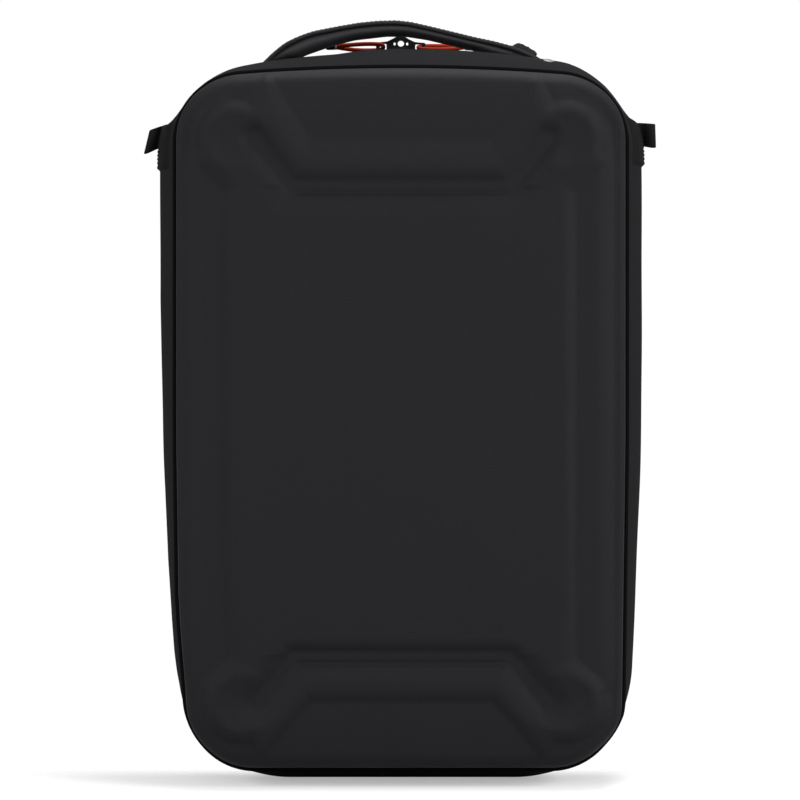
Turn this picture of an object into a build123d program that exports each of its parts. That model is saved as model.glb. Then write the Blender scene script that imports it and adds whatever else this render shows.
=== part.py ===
from build123d import *
import math
import os

# Drone carrying case, millimetres. +Z is up, the moulded front shell faces -Y,
# and the origin is on the ground under the middle of the case.

# ---- driving dimensions ----
BODY_H = 502.0          # top of the crowned gusset above the ground
BODY_W = 331.0          # widest, across the upper gusset
BASE_W = 311.0          # across the gusset at the ground line, before its corner radius
KNEE_Z = 230.0          # below this height the sides draw in
CROWN_R = 700.0         # radius of the crowned top
TOP_R = 68.0            # top corner radius
BASE_R = 80.0           # bottom corner radius
SHELL_W = 305.0         # moulded shell, across
SHELL_BASE_W = 299.0
SHELL_Z0 = 10.5         # moulded shell, bottom and top
SHELL_Z1 = 485.5
SHELL_R = 47.0          # moulded shell corner radius
SHELL_T = 4.0           # shell wall
Y_RAISED = -100.0       # raised relief of the shell
Y_FACE = -96.5          # low relief of the shell
Y_RIM = -64.0           # back edge of the shell
Y_PIPE = -61.0          # back of the piping
Y_CREST = -34.0         # where the gusset reaches its full outline
Y_TUB = -7.5            # back edge of the front gusset, where the zip tape starts
Y_ZIP = 4.0             # middle of the zip
Y_LID = 15.5            # front edge of the back gusset
Y_BOARD = 89.0          # back board
Y_BACK = 100.0          # outside of the back pad
GUSSET_T = 4.0          # padded gusset thickness
TAPE_T = 1.2            # zip tape
COIL_W = 2.2            # one side of the coil
COIL_T = 2.6
ZIP_END_Z = 52.0        # the zip's ends, above the ground
WEB_W = 25.0            # handle webbing
LOOP_W = 16.0           # side loop webbing
CORD_D = 3.0            # zip pull cord
EYE_Z = 512.6           # the lock eyelets above the ground
EYE_R = 2.3
CLEAR = 0.4             # clearance between separate pieces

os.makedirs("parts", exist_ok=True)
NODES = {}


def keep(name, shape):
    NODES[name] = shape


def box(x0, x1, y0, y1, z0, z1):
    return Pos((x0 + x1) / 2, (y0 + y1) / 2, (z0 + z1) / 2) * Box(
        abs(x1 - x0), abs(y1 - y0), abs(z1 - z0)
    )


def plane_at(y):
    return Plane(origin=(0, y, 0), x_dir=(1, 0, 0), z_dir=(0, -1, 0))


def outline(base_w, top_w, z0, z1, crown_r, top_r, base_r, knee=KNEE_Z):
    """A rounded case outline in the XZ plane as (x, z), crowned at the top."""
    xb, xt = base_w / 2, top_w / 2
    zt = z1 - crown_r + math.sqrt(crown_r**2 - xt**2)
    line = Polyline((xt, zt), (xt, knee), (xb, z0), (-xb, z0), (-xt, knee), (-xt, zt))
    arc = ThreePointArc((-xt, zt), (0, z1), (xt, zt))
    face = make_face(line.edges() + arc.edges())

    def near(f, x, z):
        return [v for v in f.vertices() if abs(v.X - x) < 0.01 and abs(v.Y - z) < 0.01]

    for x, z, r in (
        (xb, z0, base_r),
        (-xb, z0, base_r),
        (xt, zt, top_r),
        (-xt, zt, top_r),
        (xt, knee, 1400),
        (-xt, knee, 1400),
    ):
        face = fillet(near(face, x, z), r)
    return face


def body_face(d=0.0):
    """The gusset's full outline, drawn in by d."""
    return outline(
        BASE_W - 2 * d, BODY_W - 2 * d, d, BODY_H - d, CROWN_R - d, TOP_R - d, BASE_R - d
    )


def shell_face(d=0.0):
    """The moulded shell's outline, drawn in by d."""
    return outline(
        SHELL_BASE_W - 2 * d,
        SHELL_W - 2 * d,
        SHELL_Z0 + d,
        SHELL_Z1 - d,
        1400 - d,
        SHELL_R - d,
        SHELL_R - d,
    )


def slab(face, y0, y1):
    """A face of the XZ plane as a solid from y0 to y1."""
    return extrude(plane_at(y1) * face, amount=y1 - y0)


def ring(f, d0, d1, y0, y1):
    return slab(f(d0), y0, y1) - slab(f(d1), y0 - 1, y1 + 1)


def ruled(faces):
    """A ruled solid through (face, y) pairs."""
    return loft([plane_at(y) * f for f, y in faces], ruled=True)


# ---- front half: shell ----
MID_Z = (SHELL_Z0 + SHELL_Z1) / 2
base = slab(shell_face(), Y_FACE, Y_RIM)
base = fillet(base.edges().filter_by(lambda e: abs(e.center().Y - Y_FACE) < 0.01), 8)


def raised(points, y0=Y_RAISED):
    face = make_face(Polyline(*[(x, z) for x, z in points], close=True).edges())
    return slab(face, y0, Y_FACE + 2)


plateau = [(-112, -148), (-75, -150), (75, -150), (112, -148), (112, 148), (75, 150), (-75, 150), (-112, 148)]
relief = raised([(x, z + MID_Z) for x, z in plateau])
for s in (1, -1):
    relief += raised(
        [(x, s * z + MID_Z) for x, z in [(-67, 163), (67, 163), (90, 192), (72, 208), (58, 187), (-58, 187), (-72, 208), (-90, 192)]]
    )
    for q in (1, -1):
        relief += Pos(q * 110, 0, s * 187 + MID_Z) * (
            Rot(90, 0, 0) * Pos(0, 0, -Y_RAISED - 4.7) * Cylinder(24, 4.5, align=(Align.CENTER, Align.CENTER, Align.MIN))
        )
front_shell = base + relief
front_shell -= slab(shell_face(SHELL_T), Y_FACE + SHELL_T, Y_RIM + 1)
keep("front_shell", front_shell)

keep("shell_lining", slab(shell_face(SHELL_T + CLEAR), Y_FACE + SHELL_T + 0.1, Y_FACE + SHELL_T + 1.5))
piping = ring(shell_face, -2.0, 1.2, Y_RIM, Y_PIPE)
keep("shell_piping", piping)

# ---- front half: gusset, from the piping out to the full outline, then back to the zip ----
outer = ruled([(shell_face(-1.6), Y_PIPE), (outline(308, 321, 3.8, 497.0, 900, 60, 68), -50.0), (body_face(), Y_CREST)])
inner = ruled(
    [(shell_face(-1.6 + GUSSET_T), Y_PIPE), (outline(300, 313, 7.8, 493.0, 896, 56, 64), -50.0), (body_face(GUSSET_T), Y_CREST)]
)
gusset = (outer - inner) + ring(body_face, 0, GUSSET_T, Y_CREST, Y_TUB)
keep("tub_gusset", gusset)

# ---- the zip: tapes and coils over the top and down both sides ----
above = box(-200, 200, -100, 100, ZIP_END_Z, 600)
below = box(-200, 200, -100, 100, -10, ZIP_END_Z - 3.0)
keep("tub_zip_tape", ring(body_face, 0.7, 0.7 + TAPE_T, Y_TUB, Y_ZIP - 0.8 - COIL_W) & above)
keep("tub_zip_coil", ring(body_face, -0.6, COIL_T - 0.6, Y_ZIP - 0.8 - COIL_W, Y_ZIP - 0.8) & above)
keep("lid_zip_coil", ring(body_face, -0.6, COIL_T - 0.6, Y_ZIP + 0.8, Y_ZIP + 0.8 + COIL_W) & above)
keep("lid_zip_tape", ring(body_face, 0.7, 0.7 + TAPE_T, Y_ZIP + 0.8 + COIL_W, Y_LID) & above)
keep("hinge_panel_tub", ring(body_face, 0.0, 2.4, Y_TUB, Y_ZIP - 0.3) & below)
keep("hinge_panel_lid", ring(body_face, 0.0, 2.4, Y_ZIP + 0.3, Y_LID) & below)
stop_zone = box(-200, 200, Y_ZIP - 3.0, Y_ZIP - 0.4, ZIP_END_Z - 3.0, ZIP_END_Z)
keep("zip_end_stops", ring(body_face, -0.8, 2.4, Y_ZIP - 3.0, Y_ZIP - 0.4) & stop_zone)
keep("hinge_tape", box(-81, 81, -22.0, Y_ZIP - 0.5, GUSSET_T + 0.3, GUSSET_T + 1.5))
keep("base_stiffener", box(-90, 90, -33.0, -9.0, GUSSET_T + 2.0, GUSSET_T + 4.5))

# ---- front half: foam tray, dividers, cradle, strap ----
Y_FLOOR0, Y_FLOOR1 = Y_FACE + SHELL_T + 1.7, -81.0
BAY_X, BAY_Z0, BAY_Z1 = 128.0, 36.0, 460.0
keep("foam_floor", slab(shell_face(SHELL_T + 0.8), Y_FLOOR0, Y_FLOOR1))
tray = slab(shell_face(SHELL_T + 0.8), Y_FLOOR1 + 0.2, -10.0) - box(-BAY_X, BAY_X, -90, 0, BAY_Z0, BAY_Z1)
keep("foam_wall_top", tray & box(-200, 200, -100, 100, BAY_Z1, 600))
keep("foam_wall_bottom", tray & box(-200, 200, -100, 100, -10, BAY_Z0))
keep("foam_wall_left", tray & box(-200, -BAY_X, -100, 100, BAY_Z0 + CLEAR, BAY_Z1 - CLEAR))
keep("foam_wall_right", tray & box(BAY_X, 200, -100, 100, BAY_Z0 + CLEAR, BAY_Z1 - CLEAR))
Y_D0, Y_D1 = Y_FLOOR1 + 0.5, -14.0
SHELF_Z = 206.0
keep("divider_shelf", box(-BAY_X + CLEAR, BAY_X - CLEAR, Y_D0, Y_D1, SHELF_Z, SHELF_Z + 8))
keep("divider_upright", box(-4, 4, Y_D0, Y_D1, BAY_Z0 + CLEAR, SHELF_Z - CLEAR))
keep("divider_battery", box(4 + CLEAR, BAY_X - CLEAR, Y_D0, Y_D1 - 4, 117, 125))
keep("divider_accessory", box(-BAY_X + CLEAR, -4 - CLEAR, Y_D0, Y_D1 - 4, 91, 99))
cradle = box(-BAY_X + CLEAR, BAY_X - CLEAR, Y_D0, -40.0, SHELF_Z + 8 + CLEAR, BAY_Z1 - CLEAR)
hull = Pos(0, 0, 338) * (Rot(90, 0, 0) * Box(92, 196, 60))
cradle -= Pos(0, -42, 0) * hull
for s in (1, -1):
    cradle -= Pos(s * 78, -42, 392) * (Rot(90, 0, 0) * Box(84, 54, 50))
    cradle -= Pos(s * 78, -42, 282) * (Rot(90, 0, 0) * Box(84, 54, 50))
keep("drone_cradle", cradle)
keep("strap_anchor", box(-127.4, -116.2, -39.9, -36.2, 320, 356))
keep("hold_down_strap", box(-115.4, 118, -38.3, -36.3, 325.5, 350.5))
keep("strap_catch", box(84, 124, -39.9, -38.8, 322, 354))


# ---- handle: a padded roll under webbing, moving between two sewn ends ----
def prism(points, y0, y1):
    face = make_face(Polyline(*points, close=True).edges())
    return slab(face, y0, y1)


Y_HAN = -20.5
ROLL_TOP = [(-60, 513.3), (-55, 514.4), (-42, 516.9), (-29, 519.0), (-16, 520.3), (-3, 520.7), (7, 519.6), (19, 516.9), (34, 513.3), (49, 509.6), (54, 508.5)]
ROLL_LOW = [(54, 504.3), (49, 505.0), (43, 506.2), (33, 508.5), (19, 511.8), (4, 514.1), (-10, 514.2), (-33, 511.5), (-46, 508.2), (-55, 505.2), (-60, 503.6)]
keep("handle_roll", prism(ROLL_TOP + ROLL_LOW, Y_HAN - 11, Y_HAN + 11))
WEB_TOP = [(-60, 515.9), (-55, 517.0), (-42, 519.5), (-29, 521.6), (-16, 522.9), (-3, 523.3), (7, 522.2), (19, 519.5), (34, 515.9), (49, 512.2), (54, 511.1)]
keep("handle_webbing", prism(WEB_TOP + [(x, z + 0.2) for x, z in reversed(ROLL_TOP)], Y_HAN - WEB_W / 2, Y_HAN + WEB_W / 2))


def crest(x, up=0.0):
    """Height of the crowned top at x."""
    return BODY_H - CROWN_R + math.sqrt((CROWN_R + up) ** 2 - x * x)


left_end = [(-60.5, 515.8), (-66.6, 513.9), (-73.6, 511.0), (-80.5, 507.4), (-85, 504.9), (-90, 501.8), (-92.5, crest(-92.5, 0.9))]
left_low = [(-92.5, crest(-92.5, 0.1)), (-88, crest(-88, 0.1)), (-80, crest(-80, 0.1)), (-73, crest(-73, 0.1)), (-68, 500.6), (-60.5, 503.5)]
keep("handle_end_left", prism(left_end + left_low, Y_HAN - WEB_W / 2, Y_HAN + WEB_W / 2))
right_end = [(54.5, 504.2), (60, crest(60, 1.2)), (66, crest(66, 0.1)), (74, crest(74, 0.1)), (82, crest(82, 0.1)), (97, crest(97, 0.1))]
right_top = [(97, crest(97, 1.2)), (90, 500.0), (78, 505.2), (64.6, 508.9), (54.5, 511.0)]
keep("handle_end_right", prism(right_end + right_top, Y_HAN - WEB_W / 2, Y_HAN + WEB_W / 2))
keep("handle_fold_tab", prism([(77.5, 505.9), (90.6, 500.2), (93.8, 501.0), (92.6, 503.8), (86.5, 506.6), (81, 508.6), (78.5, 507.6)], Y_HAN - 9, Y_HAN + 9))


def on_crest(x, angle_of=None):
    """A frame on the crowned top at x, its z along the surface normal."""
    a = math.degrees(math.asin(x / CROWN_R))
    return Pos(x, 0, crest(x)) * Rot(0, a, 0)


keep("top_rivet", on_crest(101.5) * Pos(0, Y_HAN - 6, 0.15) * Cylinder(4.2, 1.2, align=(Align.CENTER, Align.CENTER, Align.MIN)))


# ---- side patches and webbing loops ----
def side_x(z):
    """Half width of the full outline at a height on the upper side."""
    cz = BODY_H - CROWN_R + math.sqrt((CROWN_R - TOP_R) ** 2 - (BODY_W / 2 - TOP_R) ** 2)
    if z <= cz:
        return BODY_W / 2
    return BODY_W / 2 - TOP_R + math.sqrt(TOP_R**2 - (z - cz) ** 2)


LOOP_Z = 440.0
LOOP_Y = -26.0
LOOP_X = 168.8          # root of the loops, clear of the patches
for s, side in ((-1, "left"), (1, "right")):
    band = ring(body_face, -1.7, -0.1, Y_CREST + 0.5, Y_TUB - 2.0) & box(s * 120, s * 200, -60, 20, 419, 451)
    keep(f"side_patch_{side}", band)
    droop = math.radians(14.0 if s < 0 else 2.0)
    # a flattened ring of webbing, its hole running up, drawn in to two plies at its root
    pts = [(0, 1.3), (3, 1.5), (6.5, 4.1), (11.5, 4.5), (14.0, 3.2), (14.8, 0), (14.0, -3.2), (11.5, -4.5), (6.5, -4.1), (3, -1.5), (0, -1.3)]
    hole = [(5.0, 0), (7.0, 2.7), (11.2, 3.1), (13.0, 1.8), (13.3, 0), (13.0, -1.8), (11.2, -3.1), (7.0, -2.7)]
    flat = make_face(Polyline(*pts, close=True).edges()) - make_face(Polyline(*hole, close=True).edges())
    lay = Plane(
        origin=(s * LOOP_X, LOOP_Y, LOOP_Z),
        x_dir=(s * math.cos(droop), 0, -math.sin(droop)),
        z_dir=(math.sin(droop), 0, s * math.cos(droop)),
    )
    loop = extrude(lay * flat, amount=LOOP_W / 2, dir=(0, 0, 1), both=True)
    keep(f"side_loop_{side}", loop)


# ---- zip sliders: plates above and below the coil joined by a thin post, with a lock eyelet ----
def slider(s):
    body = box(-15.0, -2.0, Y_ZIP - 4.6, Y_ZIP + 4.6, BODY_H + 1.1, BODY_H + 2.7)
    body += box(-14.0, -3.0, Y_ZIP - 4.0, Y_ZIP + 4.0, BODY_H - 4.0, BODY_H - 2.5)
    body += box(-9.0, -4.0, Y_ZIP - 0.45, Y_ZIP + 0.45, BODY_H - 3.0, BODY_H + 2.0)
    y0, y1 = (Y_ZIP - 2.1, Y_ZIP - 0.4)
    plate = make_face(
        Polyline(
            (-17.4, 504.2), (-17.4, 513.2), (-9.6, 513.8), (-4.0, 517.3), (3.4, 517.3),
            (6.9, 514.4), (6.9, 510.0), (3.4, 507.4), (-1.2, 507.4), (-2.6, 504.2), close=True,
        ).edges()
    )
    plate -= Pos(0, EYE_Z) * Circle(EYE_R)
    for x in (-4.45, 4.45):
        plate -= Pos(x, EYE_Z - 0.2) * Ellipse(0.85, 1.3)
    plate -= Pos(-12.5, 510.0) * Rectangle(4.6, 4.8)
    body += slab(plate, y0, y1)
    if s > 0:
        body = mirror(body, about=Plane.YZ)
        body = mirror(body, about=Plane(origin=(0, Y_ZIP, 0), z_dir=(0, 1, 0)))
    return body


keep("slider_left", slider(-1))
keep("slider_right", slider(1))

# ---- zip pulls: one cord doubled through the slider's eye, its ends held in a moulded end piece ----
YP = Y_ZIP - 1.25
# route of the left cord: out of the end piece, along the front of the eye, round its outer bar and back
ROUTE = [
    (-45.5, YP - 1.6, 510.6),
    (-39.0, YP - 2.0, 511.0),
    (-30.0, YP - 2.9, 511.6),
    (-21.0, YP - 3.4, 511.8),
    (-12.3, YP - 3.3, 511.4),
    (-12.5, YP + 3.3, 508.7),
    (-21.0, YP + 3.4, 508.2),
    (-30.0, YP + 2.9, 508.2),
    (-39.0, YP + 2.0, 509.0),
    (-45.5, YP + 1.6, 510.1),
]


def cord(points, d):
    n = len(points)
    radii = []
    for i in range(1, n - 1):
        a, b = Vector(*points[i]) - Vector(*points[i - 1]), Vector(*points[i + 1]) - Vector(*points[i])
        turn = math.radians(a.get_angle(b))
        radii.append(round(0.45 * min(a.length, b.length) / math.tan(turn / 2), 3))
    print("cord radii", radii)
    path = FilletPolyline(*points, radius=radii)
    first = Vector(*points[1]) - Vector(*points[0])
    tube = sweep(Plane(origin=points[0], z_dir=first) * Circle(d / 2), path=path)
    print("cord length", round(path.length, 2), "volume ratio", round(tube.volume / (math.pi * d * d / 4 * path.length), 4))
    return tube


def flip(p):
    return (-p[0], 2 * Y_ZIP - p[1], p[2])


# the right cord's end lies a little further back, behind the handle
for s, side in ((-1, "left"), (1, "right")):
    route = ROUTE if s < 0 else [flip(p) for p in ROUTE]
    keep(f"pull_cord_{side}", cord(route, CORD_D))
    a, b = Vector(*route[0]), Vector(*route[-1])
    m = (a + b) * 0.5
    out = Vector(s, 0, -0.10)
    frame = Plane(origin=m, z_dir=out, x_dir=(0, 1, 0))
    keep(f"pull_collar_{side}", extrude(frame * RectangleRounded(6.9, 4.2, 1.9), amount=1.0))
    tip = Plane(origin=m + out.normalized() * 1.0, z_dir=out, x_dir=(0, 1, 0))
    keep(f"pull_end_{side}", extrude(tip * RectangleRounded(6.5, 3.8, 1.7), amount=6.5, taper=6))

# ---- back half: gusset, board, pad, binding ----
keep("lid_gusset", ring(body_face, 0, GUSSET_T, Y_LID, Y_BOARD))
keep("back_board", slab(body_face(0.6), Y_BOARD + 0.1, Y_BOARD + 2.6))
pad = slab(body_face(6.0), Y_BOARD + 2.7, Y_BACK)
pad = fillet(pad.edges().filter_by(lambda e: abs(e.center().Y - Y_BACK) < 0.01), 5)
keep("back_pad", pad)
keep("back_binding", ring(body_face, -0.8, 4.6, Y_BOARD + 2.7, Y_BOARD + 6.2) & box(-200, 200, 0, 100, 0.8, 600) + (ring(body_face, 0.05, 4.6, Y_BOARD + 2.7, Y_BOARD + 6.2) & box(-200, 200, 0, 100, -1, 30)))

# ---- back half: inner pad and zipped mesh pocket ----
keep("lid_foam", slab(body_face(GUSSET_T + 1.0), 80.5, Y_BOARD - 0.3))
PX, PZ0, PZ1, PY0, PY1 = 122.0, 62.0, 312.0, 58.0, 80.2
pocket = box(-PX, PX, PY0, PY1, PZ0, PZ1) - box(-PX + 1.5, PX - 1.5, PY0 + 1.5, PY1 + 1, PZ0 + 1.5, PZ1 + 5)
keep("mesh_pocket", pocket)
bind = box(-PX - 4, PX + 4, PY1 - 1.7, PY1, PZ0 - 4, PZ1) - box(-PX - 0.2, PX + 0.2, 50, 90, PZ0 - 0.2, PZ1 + 5)
keep("pocket_binding", bind)
keep("pocket_zip_tape", box(-PX, PX, PY0, PY0 + 1.3, PZ1 + 0.2, PZ1 + 17))
keep("pocket_zip_coil", box(-PX + 3, PX - 3, PY0 - 1.6, PY0 - 0.1, PZ1 + 6.6, PZ1 + 10.6))
keep("pocket_top_band", box(-PX, PX, PY0, PY0 + 1.5, PZ1 + 17.2, PZ1 + 32) + box(-PX, PX, PY0 + 1.4, PY1, PZ1 + 30.5, PZ1 + 32))
SL = box(-112, -102, PY0 - 4.4, PY0 - 2.0, PZ1 + 4.4, PZ1 + 12.8)
SL += box(-109, -105, PY0 - 7.4, PY0 - 4.2, PZ1 + 10.4, PZ1 + 12.4)
SL += box(-109, -105, PY0 - 7.4, PY0 - 6.4, PZ1 + 5.0, PZ1 + 12.4)
keep("pocket_slider", SL)
pull = box(-111.5, -102.5, PY0 - 5.7, PY0 - 4.9, PZ1 - 18, PZ1 + 9.8)
pull -= box(-109.7, -104.3, PY0 - 7, PY0 - 4, PZ1 + 1.0, PZ1 + 8.6)
pull += box(-110.5, -103.5, PY0 - 6.5, PY0 - 4.1, PZ1 - 18, PZ1 - 1)
keep("pocket_pull", pull)

for name, shape in NODES.items():
    export_step(shape, f"parts/{name}.step")
print(len(NODES), "nodes")
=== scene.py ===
import math

import bmesh
import bpy
import numpy as np
from mathutils import Matrix, Vector
from mathutils.kdtree import KDTree


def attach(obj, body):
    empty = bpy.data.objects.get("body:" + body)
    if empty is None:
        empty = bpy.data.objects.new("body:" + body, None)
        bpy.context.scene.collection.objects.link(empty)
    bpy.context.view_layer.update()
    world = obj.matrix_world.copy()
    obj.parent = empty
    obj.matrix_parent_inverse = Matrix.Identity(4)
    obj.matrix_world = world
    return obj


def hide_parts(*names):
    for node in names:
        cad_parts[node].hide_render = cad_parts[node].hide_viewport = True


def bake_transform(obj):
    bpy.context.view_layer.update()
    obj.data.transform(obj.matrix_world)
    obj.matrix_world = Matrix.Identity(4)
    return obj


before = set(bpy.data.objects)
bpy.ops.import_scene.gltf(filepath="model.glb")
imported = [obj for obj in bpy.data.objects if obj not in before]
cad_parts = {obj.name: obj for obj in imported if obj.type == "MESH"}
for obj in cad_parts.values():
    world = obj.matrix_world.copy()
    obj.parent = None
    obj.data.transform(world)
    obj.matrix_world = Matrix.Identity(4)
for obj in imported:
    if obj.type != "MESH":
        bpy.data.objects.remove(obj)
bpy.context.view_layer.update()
rng = np.random.default_rng(7)

# the case's stations along Y and its outlines, in millimetres
Y_RAISED, Y_RIM, Y_PIPE, Y_CREST, Y_TUB, Y_ZIP, Y_LID, Y_BOARD, Y_BACK = -100.0, -64.0, -61.0, -34.0, -7.5, 4.0, 15.5, 89.0, 100.0
ZIP_END_Z = 52.0
BODY = dict(base_w=311.0, top_w=331.0, z0=0.0, z1=502.0, crown=700.0, rt=68.0, rb=80.0)
SHELL = dict(base_w=299.0, top_w=305.0, z0=10.5, z1=485.5, crown=1400.0, rt=47.0, rb=47.0)
MID_Z = 248.0
WORLD, FLOOR_ALBEDO, FLOOR_LIFT = 0.40, 0.66, 0.38


# ------------------------------------------------------------------ shapes
def smooth(a, b, x):
    t = np.clip((x - a) / (b - a), 0, 1)
    return t * t * (3 - 2 * t)


def outline(base_w, top_w, z0, z1, crown, rt, rb, knee=230.0, grow=0.0, fine=1.0):
    """A case outline, grown by `grow`: (points (N, 2), outward normals (N, 2), length along it). It starts at the bottom middle and runs right, up, over and back."""
    xb, xt = base_w / 2, top_w / 2
    u = np.array([xt - xb, knee - z0]) / math.hypot(xt - xb, knee - z0)
    inner = math.acos(-u[0])
    t1 = rb / math.tan(inner / 2)
    na = math.atan2(-u[0], u[1])
    n = lambda k: max(2, int(round(k * fine)))
    pts, nor = [], []

    def arc(cx, cz, r, a0, a1, k):
        for i in range(k):
            a = a0 + (a1 - a0) * i / k
            pts.append((cx + r * math.cos(a), cz + r * math.sin(a)))
            nor.append((math.cos(a), math.sin(a)))

    def line(p, q, normal, k):
        for i in range(k):
            t = i / k
            pts.append((p[0] + (q[0] - p[0]) * t, p[1] + (q[1] - p[1]) * t))
            nor.append(normal)

    line((0, z0), (xb - t1, z0), (0, -1), n(26))
    arc(xb - t1, z0 + rb, rb, -math.pi / 2, na, n(36))
    half = abs(na) / 2
    tk = 1400 * math.tan(half)
    pa = (xb + u[0] * t1, z0 + u[1] * t1)
    pk = (xt - u[0] * tk, knee - u[1] * tk)
    line(pa, pk, (math.cos(na), math.sin(na)), n(30))
    arc(xt - 1400, knee + tk, 1400, na, 0, n(10))
    cz = z1 - crown + math.sqrt((crown - rt) ** 2 - (xt - rt) ** 2)
    line((xt, knee + tk), (xt, cz), (1, 0), n(44))
    ac = math.atan2(cz - (z1 - crown), xt - rt)
    arc(xt - rt, cz, rt, 0, ac, n(36))
    arc(0, z1 - crown, crown, ac, math.pi / 2, n(30))
    p, m = np.array(pts), np.array(nor)
    top = np.array([[0, z1]]), np.array([[0, 1.0]])
    flip = np.array([-1.0, 1.0])
    P = np.vstack([p, top[0], p[1:][::-1] * flip])
    M = np.vstack([m, top[1], m[1:][::-1] * flip])
    P = P + M * grow
    step = np.linalg.norm(np.roll(P, -1, 0) - P, axis=1)
    return P, M, np.concatenate([[0], np.cumsum(step)])


def new_object(name, mesh):
    o = bpy.data.objects.new(name, mesh)
    bpy.context.scene.collection.objects.link(o)
    return o


def shade_smooth(me, on=True):
    me.polygons.foreach_set("use_smooth", np.full(len(me.polygons), on))
    me.update()


def grid_mesh(name, P, wrap_u=False, wrap_v=False, uv=None, flip=False, caps=()):
    """P is (nu, nv, 3) in mm. uv is (nu + wrap_u, nv + wrap_v, 2) in metres. caps are the v rows closed with a face."""
    nu, nv = P.shape[:2]
    eu, ev = nu - (not wrap_u), nv - (not wrap_v)
    i, j = np.meshgrid(np.arange(eu), np.arange(ev), indexing="ij")
    i1, j1 = (i + 1), (j + 1)
    a, b, c, d = (
        (i % nu) * nv + j % nv,
        (i1 % nu) * nv + j % nv,
        (i1 % nu) * nv + j1 % nv,
        (i % nu) * nv + j1 % nv,
    )
    F = np.stack([a, b, c, d], -1).reshape(-1, 4)
    UVI = np.stack([i, j, i1, j, i1, j1, i, j1], -1).reshape(-1, 4, 2)
    if flip:
        F, UVI = F[:, ::-1], UVI[:, ::-1]
    faces = F.tolist()
    for v in caps:
        loop = [k * nv + v for k in range(nu)]
        faces.append(loop if (v == 0) != flip else loop[::-1])
    me = bpy.data.meshes.new(name)
    me.from_pydata((P.reshape(-1, 3) * 0.001).tolist(), [], faces)
    if uv is not None:
        layer = me.uv_layers.new(name="wrap")
        co = uv[UVI[..., 0], UVI[..., 1]].reshape(-1, 2)
        if caps:
            extra = len(me.loops) - len(co)
            co = np.vstack([co, np.zeros((extra, 2))])
        layer.data.foreach_set("uv", co.astype(np.float32).ravel())
    me.validate()
    shade_smooth(me)
    return new_object(name, me)


def ring_strip(name, sections, flip=False, z_above=None, z_below=None, closed_section=True, fine=1.0, uv_shift=0.0):
    """A strip round the case. sections(u index arrays) is a list of (outline points, y) rows, in order round the section. closed_section joins the last row to the first."""
    rows = [np.column_stack([p[:, 0], np.full(len(p), 1.0) * y, p[:, 1]]) for p, y in sections]
    P = np.stack(rows, axis=1)
    s = np.concatenate([[0], np.cumsum(np.linalg.norm(np.roll(sections[0][0], -1, 0) - sections[0][0], axis=1))])
    dv = np.linalg.norm(np.diff(P, axis=1), axis=2).mean(0)
    v = np.concatenate([[0], np.cumsum(dv)])
    nv = P.shape[1]
    if closed_section:
        v = np.concatenate([v, [v[-1] + np.linalg.norm(P[:, 0] - P[:, -1], axis=1).mean()]])
    uv = np.stack(np.meshgrid(s * 0.001, v * 0.001 + uv_shift, indexing="ij"), -1)
    wrap_u = True
    caps = ()
    if z_above is not None or z_below is not None:
        z = sections[0][0][:, 1]
        if z_above is not None:  # open over the bottom: keep the run from right end over the top to the left end
            keep = np.flatnonzero(z > z_above)
            order = keep
        else:  # keep the bottom run, from the left end through the bottom middle to the right end
            n = len(z)
            low = z < z_below
            start = next(i for i in range(n) if low[i] and not low[i - 1])
            order = np.array([(start + k) % n for k in range(int(low.sum()))])
        P = P[order]
        uu = s[:-1][order].copy()
        if z_below is not None:
            uu = np.where(uu > s[-1] / 2, uu - s[-1], uu)
        uv = np.stack(np.meshgrid(uu * 0.001, v * 0.001 + uv_shift, indexing="ij"), -1)
        wrap_u = False
    o = grid_mesh(name, P, wrap_u=wrap_u, wrap_v=closed_section, uv=uv, flip=flip)
    if not wrap_u and closed_section:  # close the two ends
        bm = bmesh.new()
        bm.from_mesh(o.data)
        bmesh.ops.holes_fill(bm, edges=[e for e in bm.edges if e.is_boundary], sides=0)
        bmesh.ops.recalc_face_normals(bm, faces=bm.faces)
        bm.to_mesh(o.data)
        bm.free()
        shade_smooth(o.data)
    return o


def fix_normals(o):
    bm = bmesh.new()
    bm.from_mesh(o.data)
    bmesh.ops.remove_doubles(bm, verts=bm.verts, dist=1e-7)
    bmesh.ops.recalc_face_normals(bm, faces=bm.faces)
    bm.to_mesh(o.data)
    bm.free()
    return o


def apply_modifiers(o):
    dg = bpy.context.evaluated_depsgraph_get()
    me = bpy.data.meshes.new_from_object(o.evaluated_get(dg))
    old = o.data
    o.modifiers.clear()
    o.data = me
    if old.users == 0:
        bpy.data.meshes.remove(old)
    return o


def autosmooth(o, angle=35):
    for p in o.data.polygons:
        p.use_smooth = True
    o.data.set_sharp_from_angle(angle=math.radians(angle))
    return o


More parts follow.
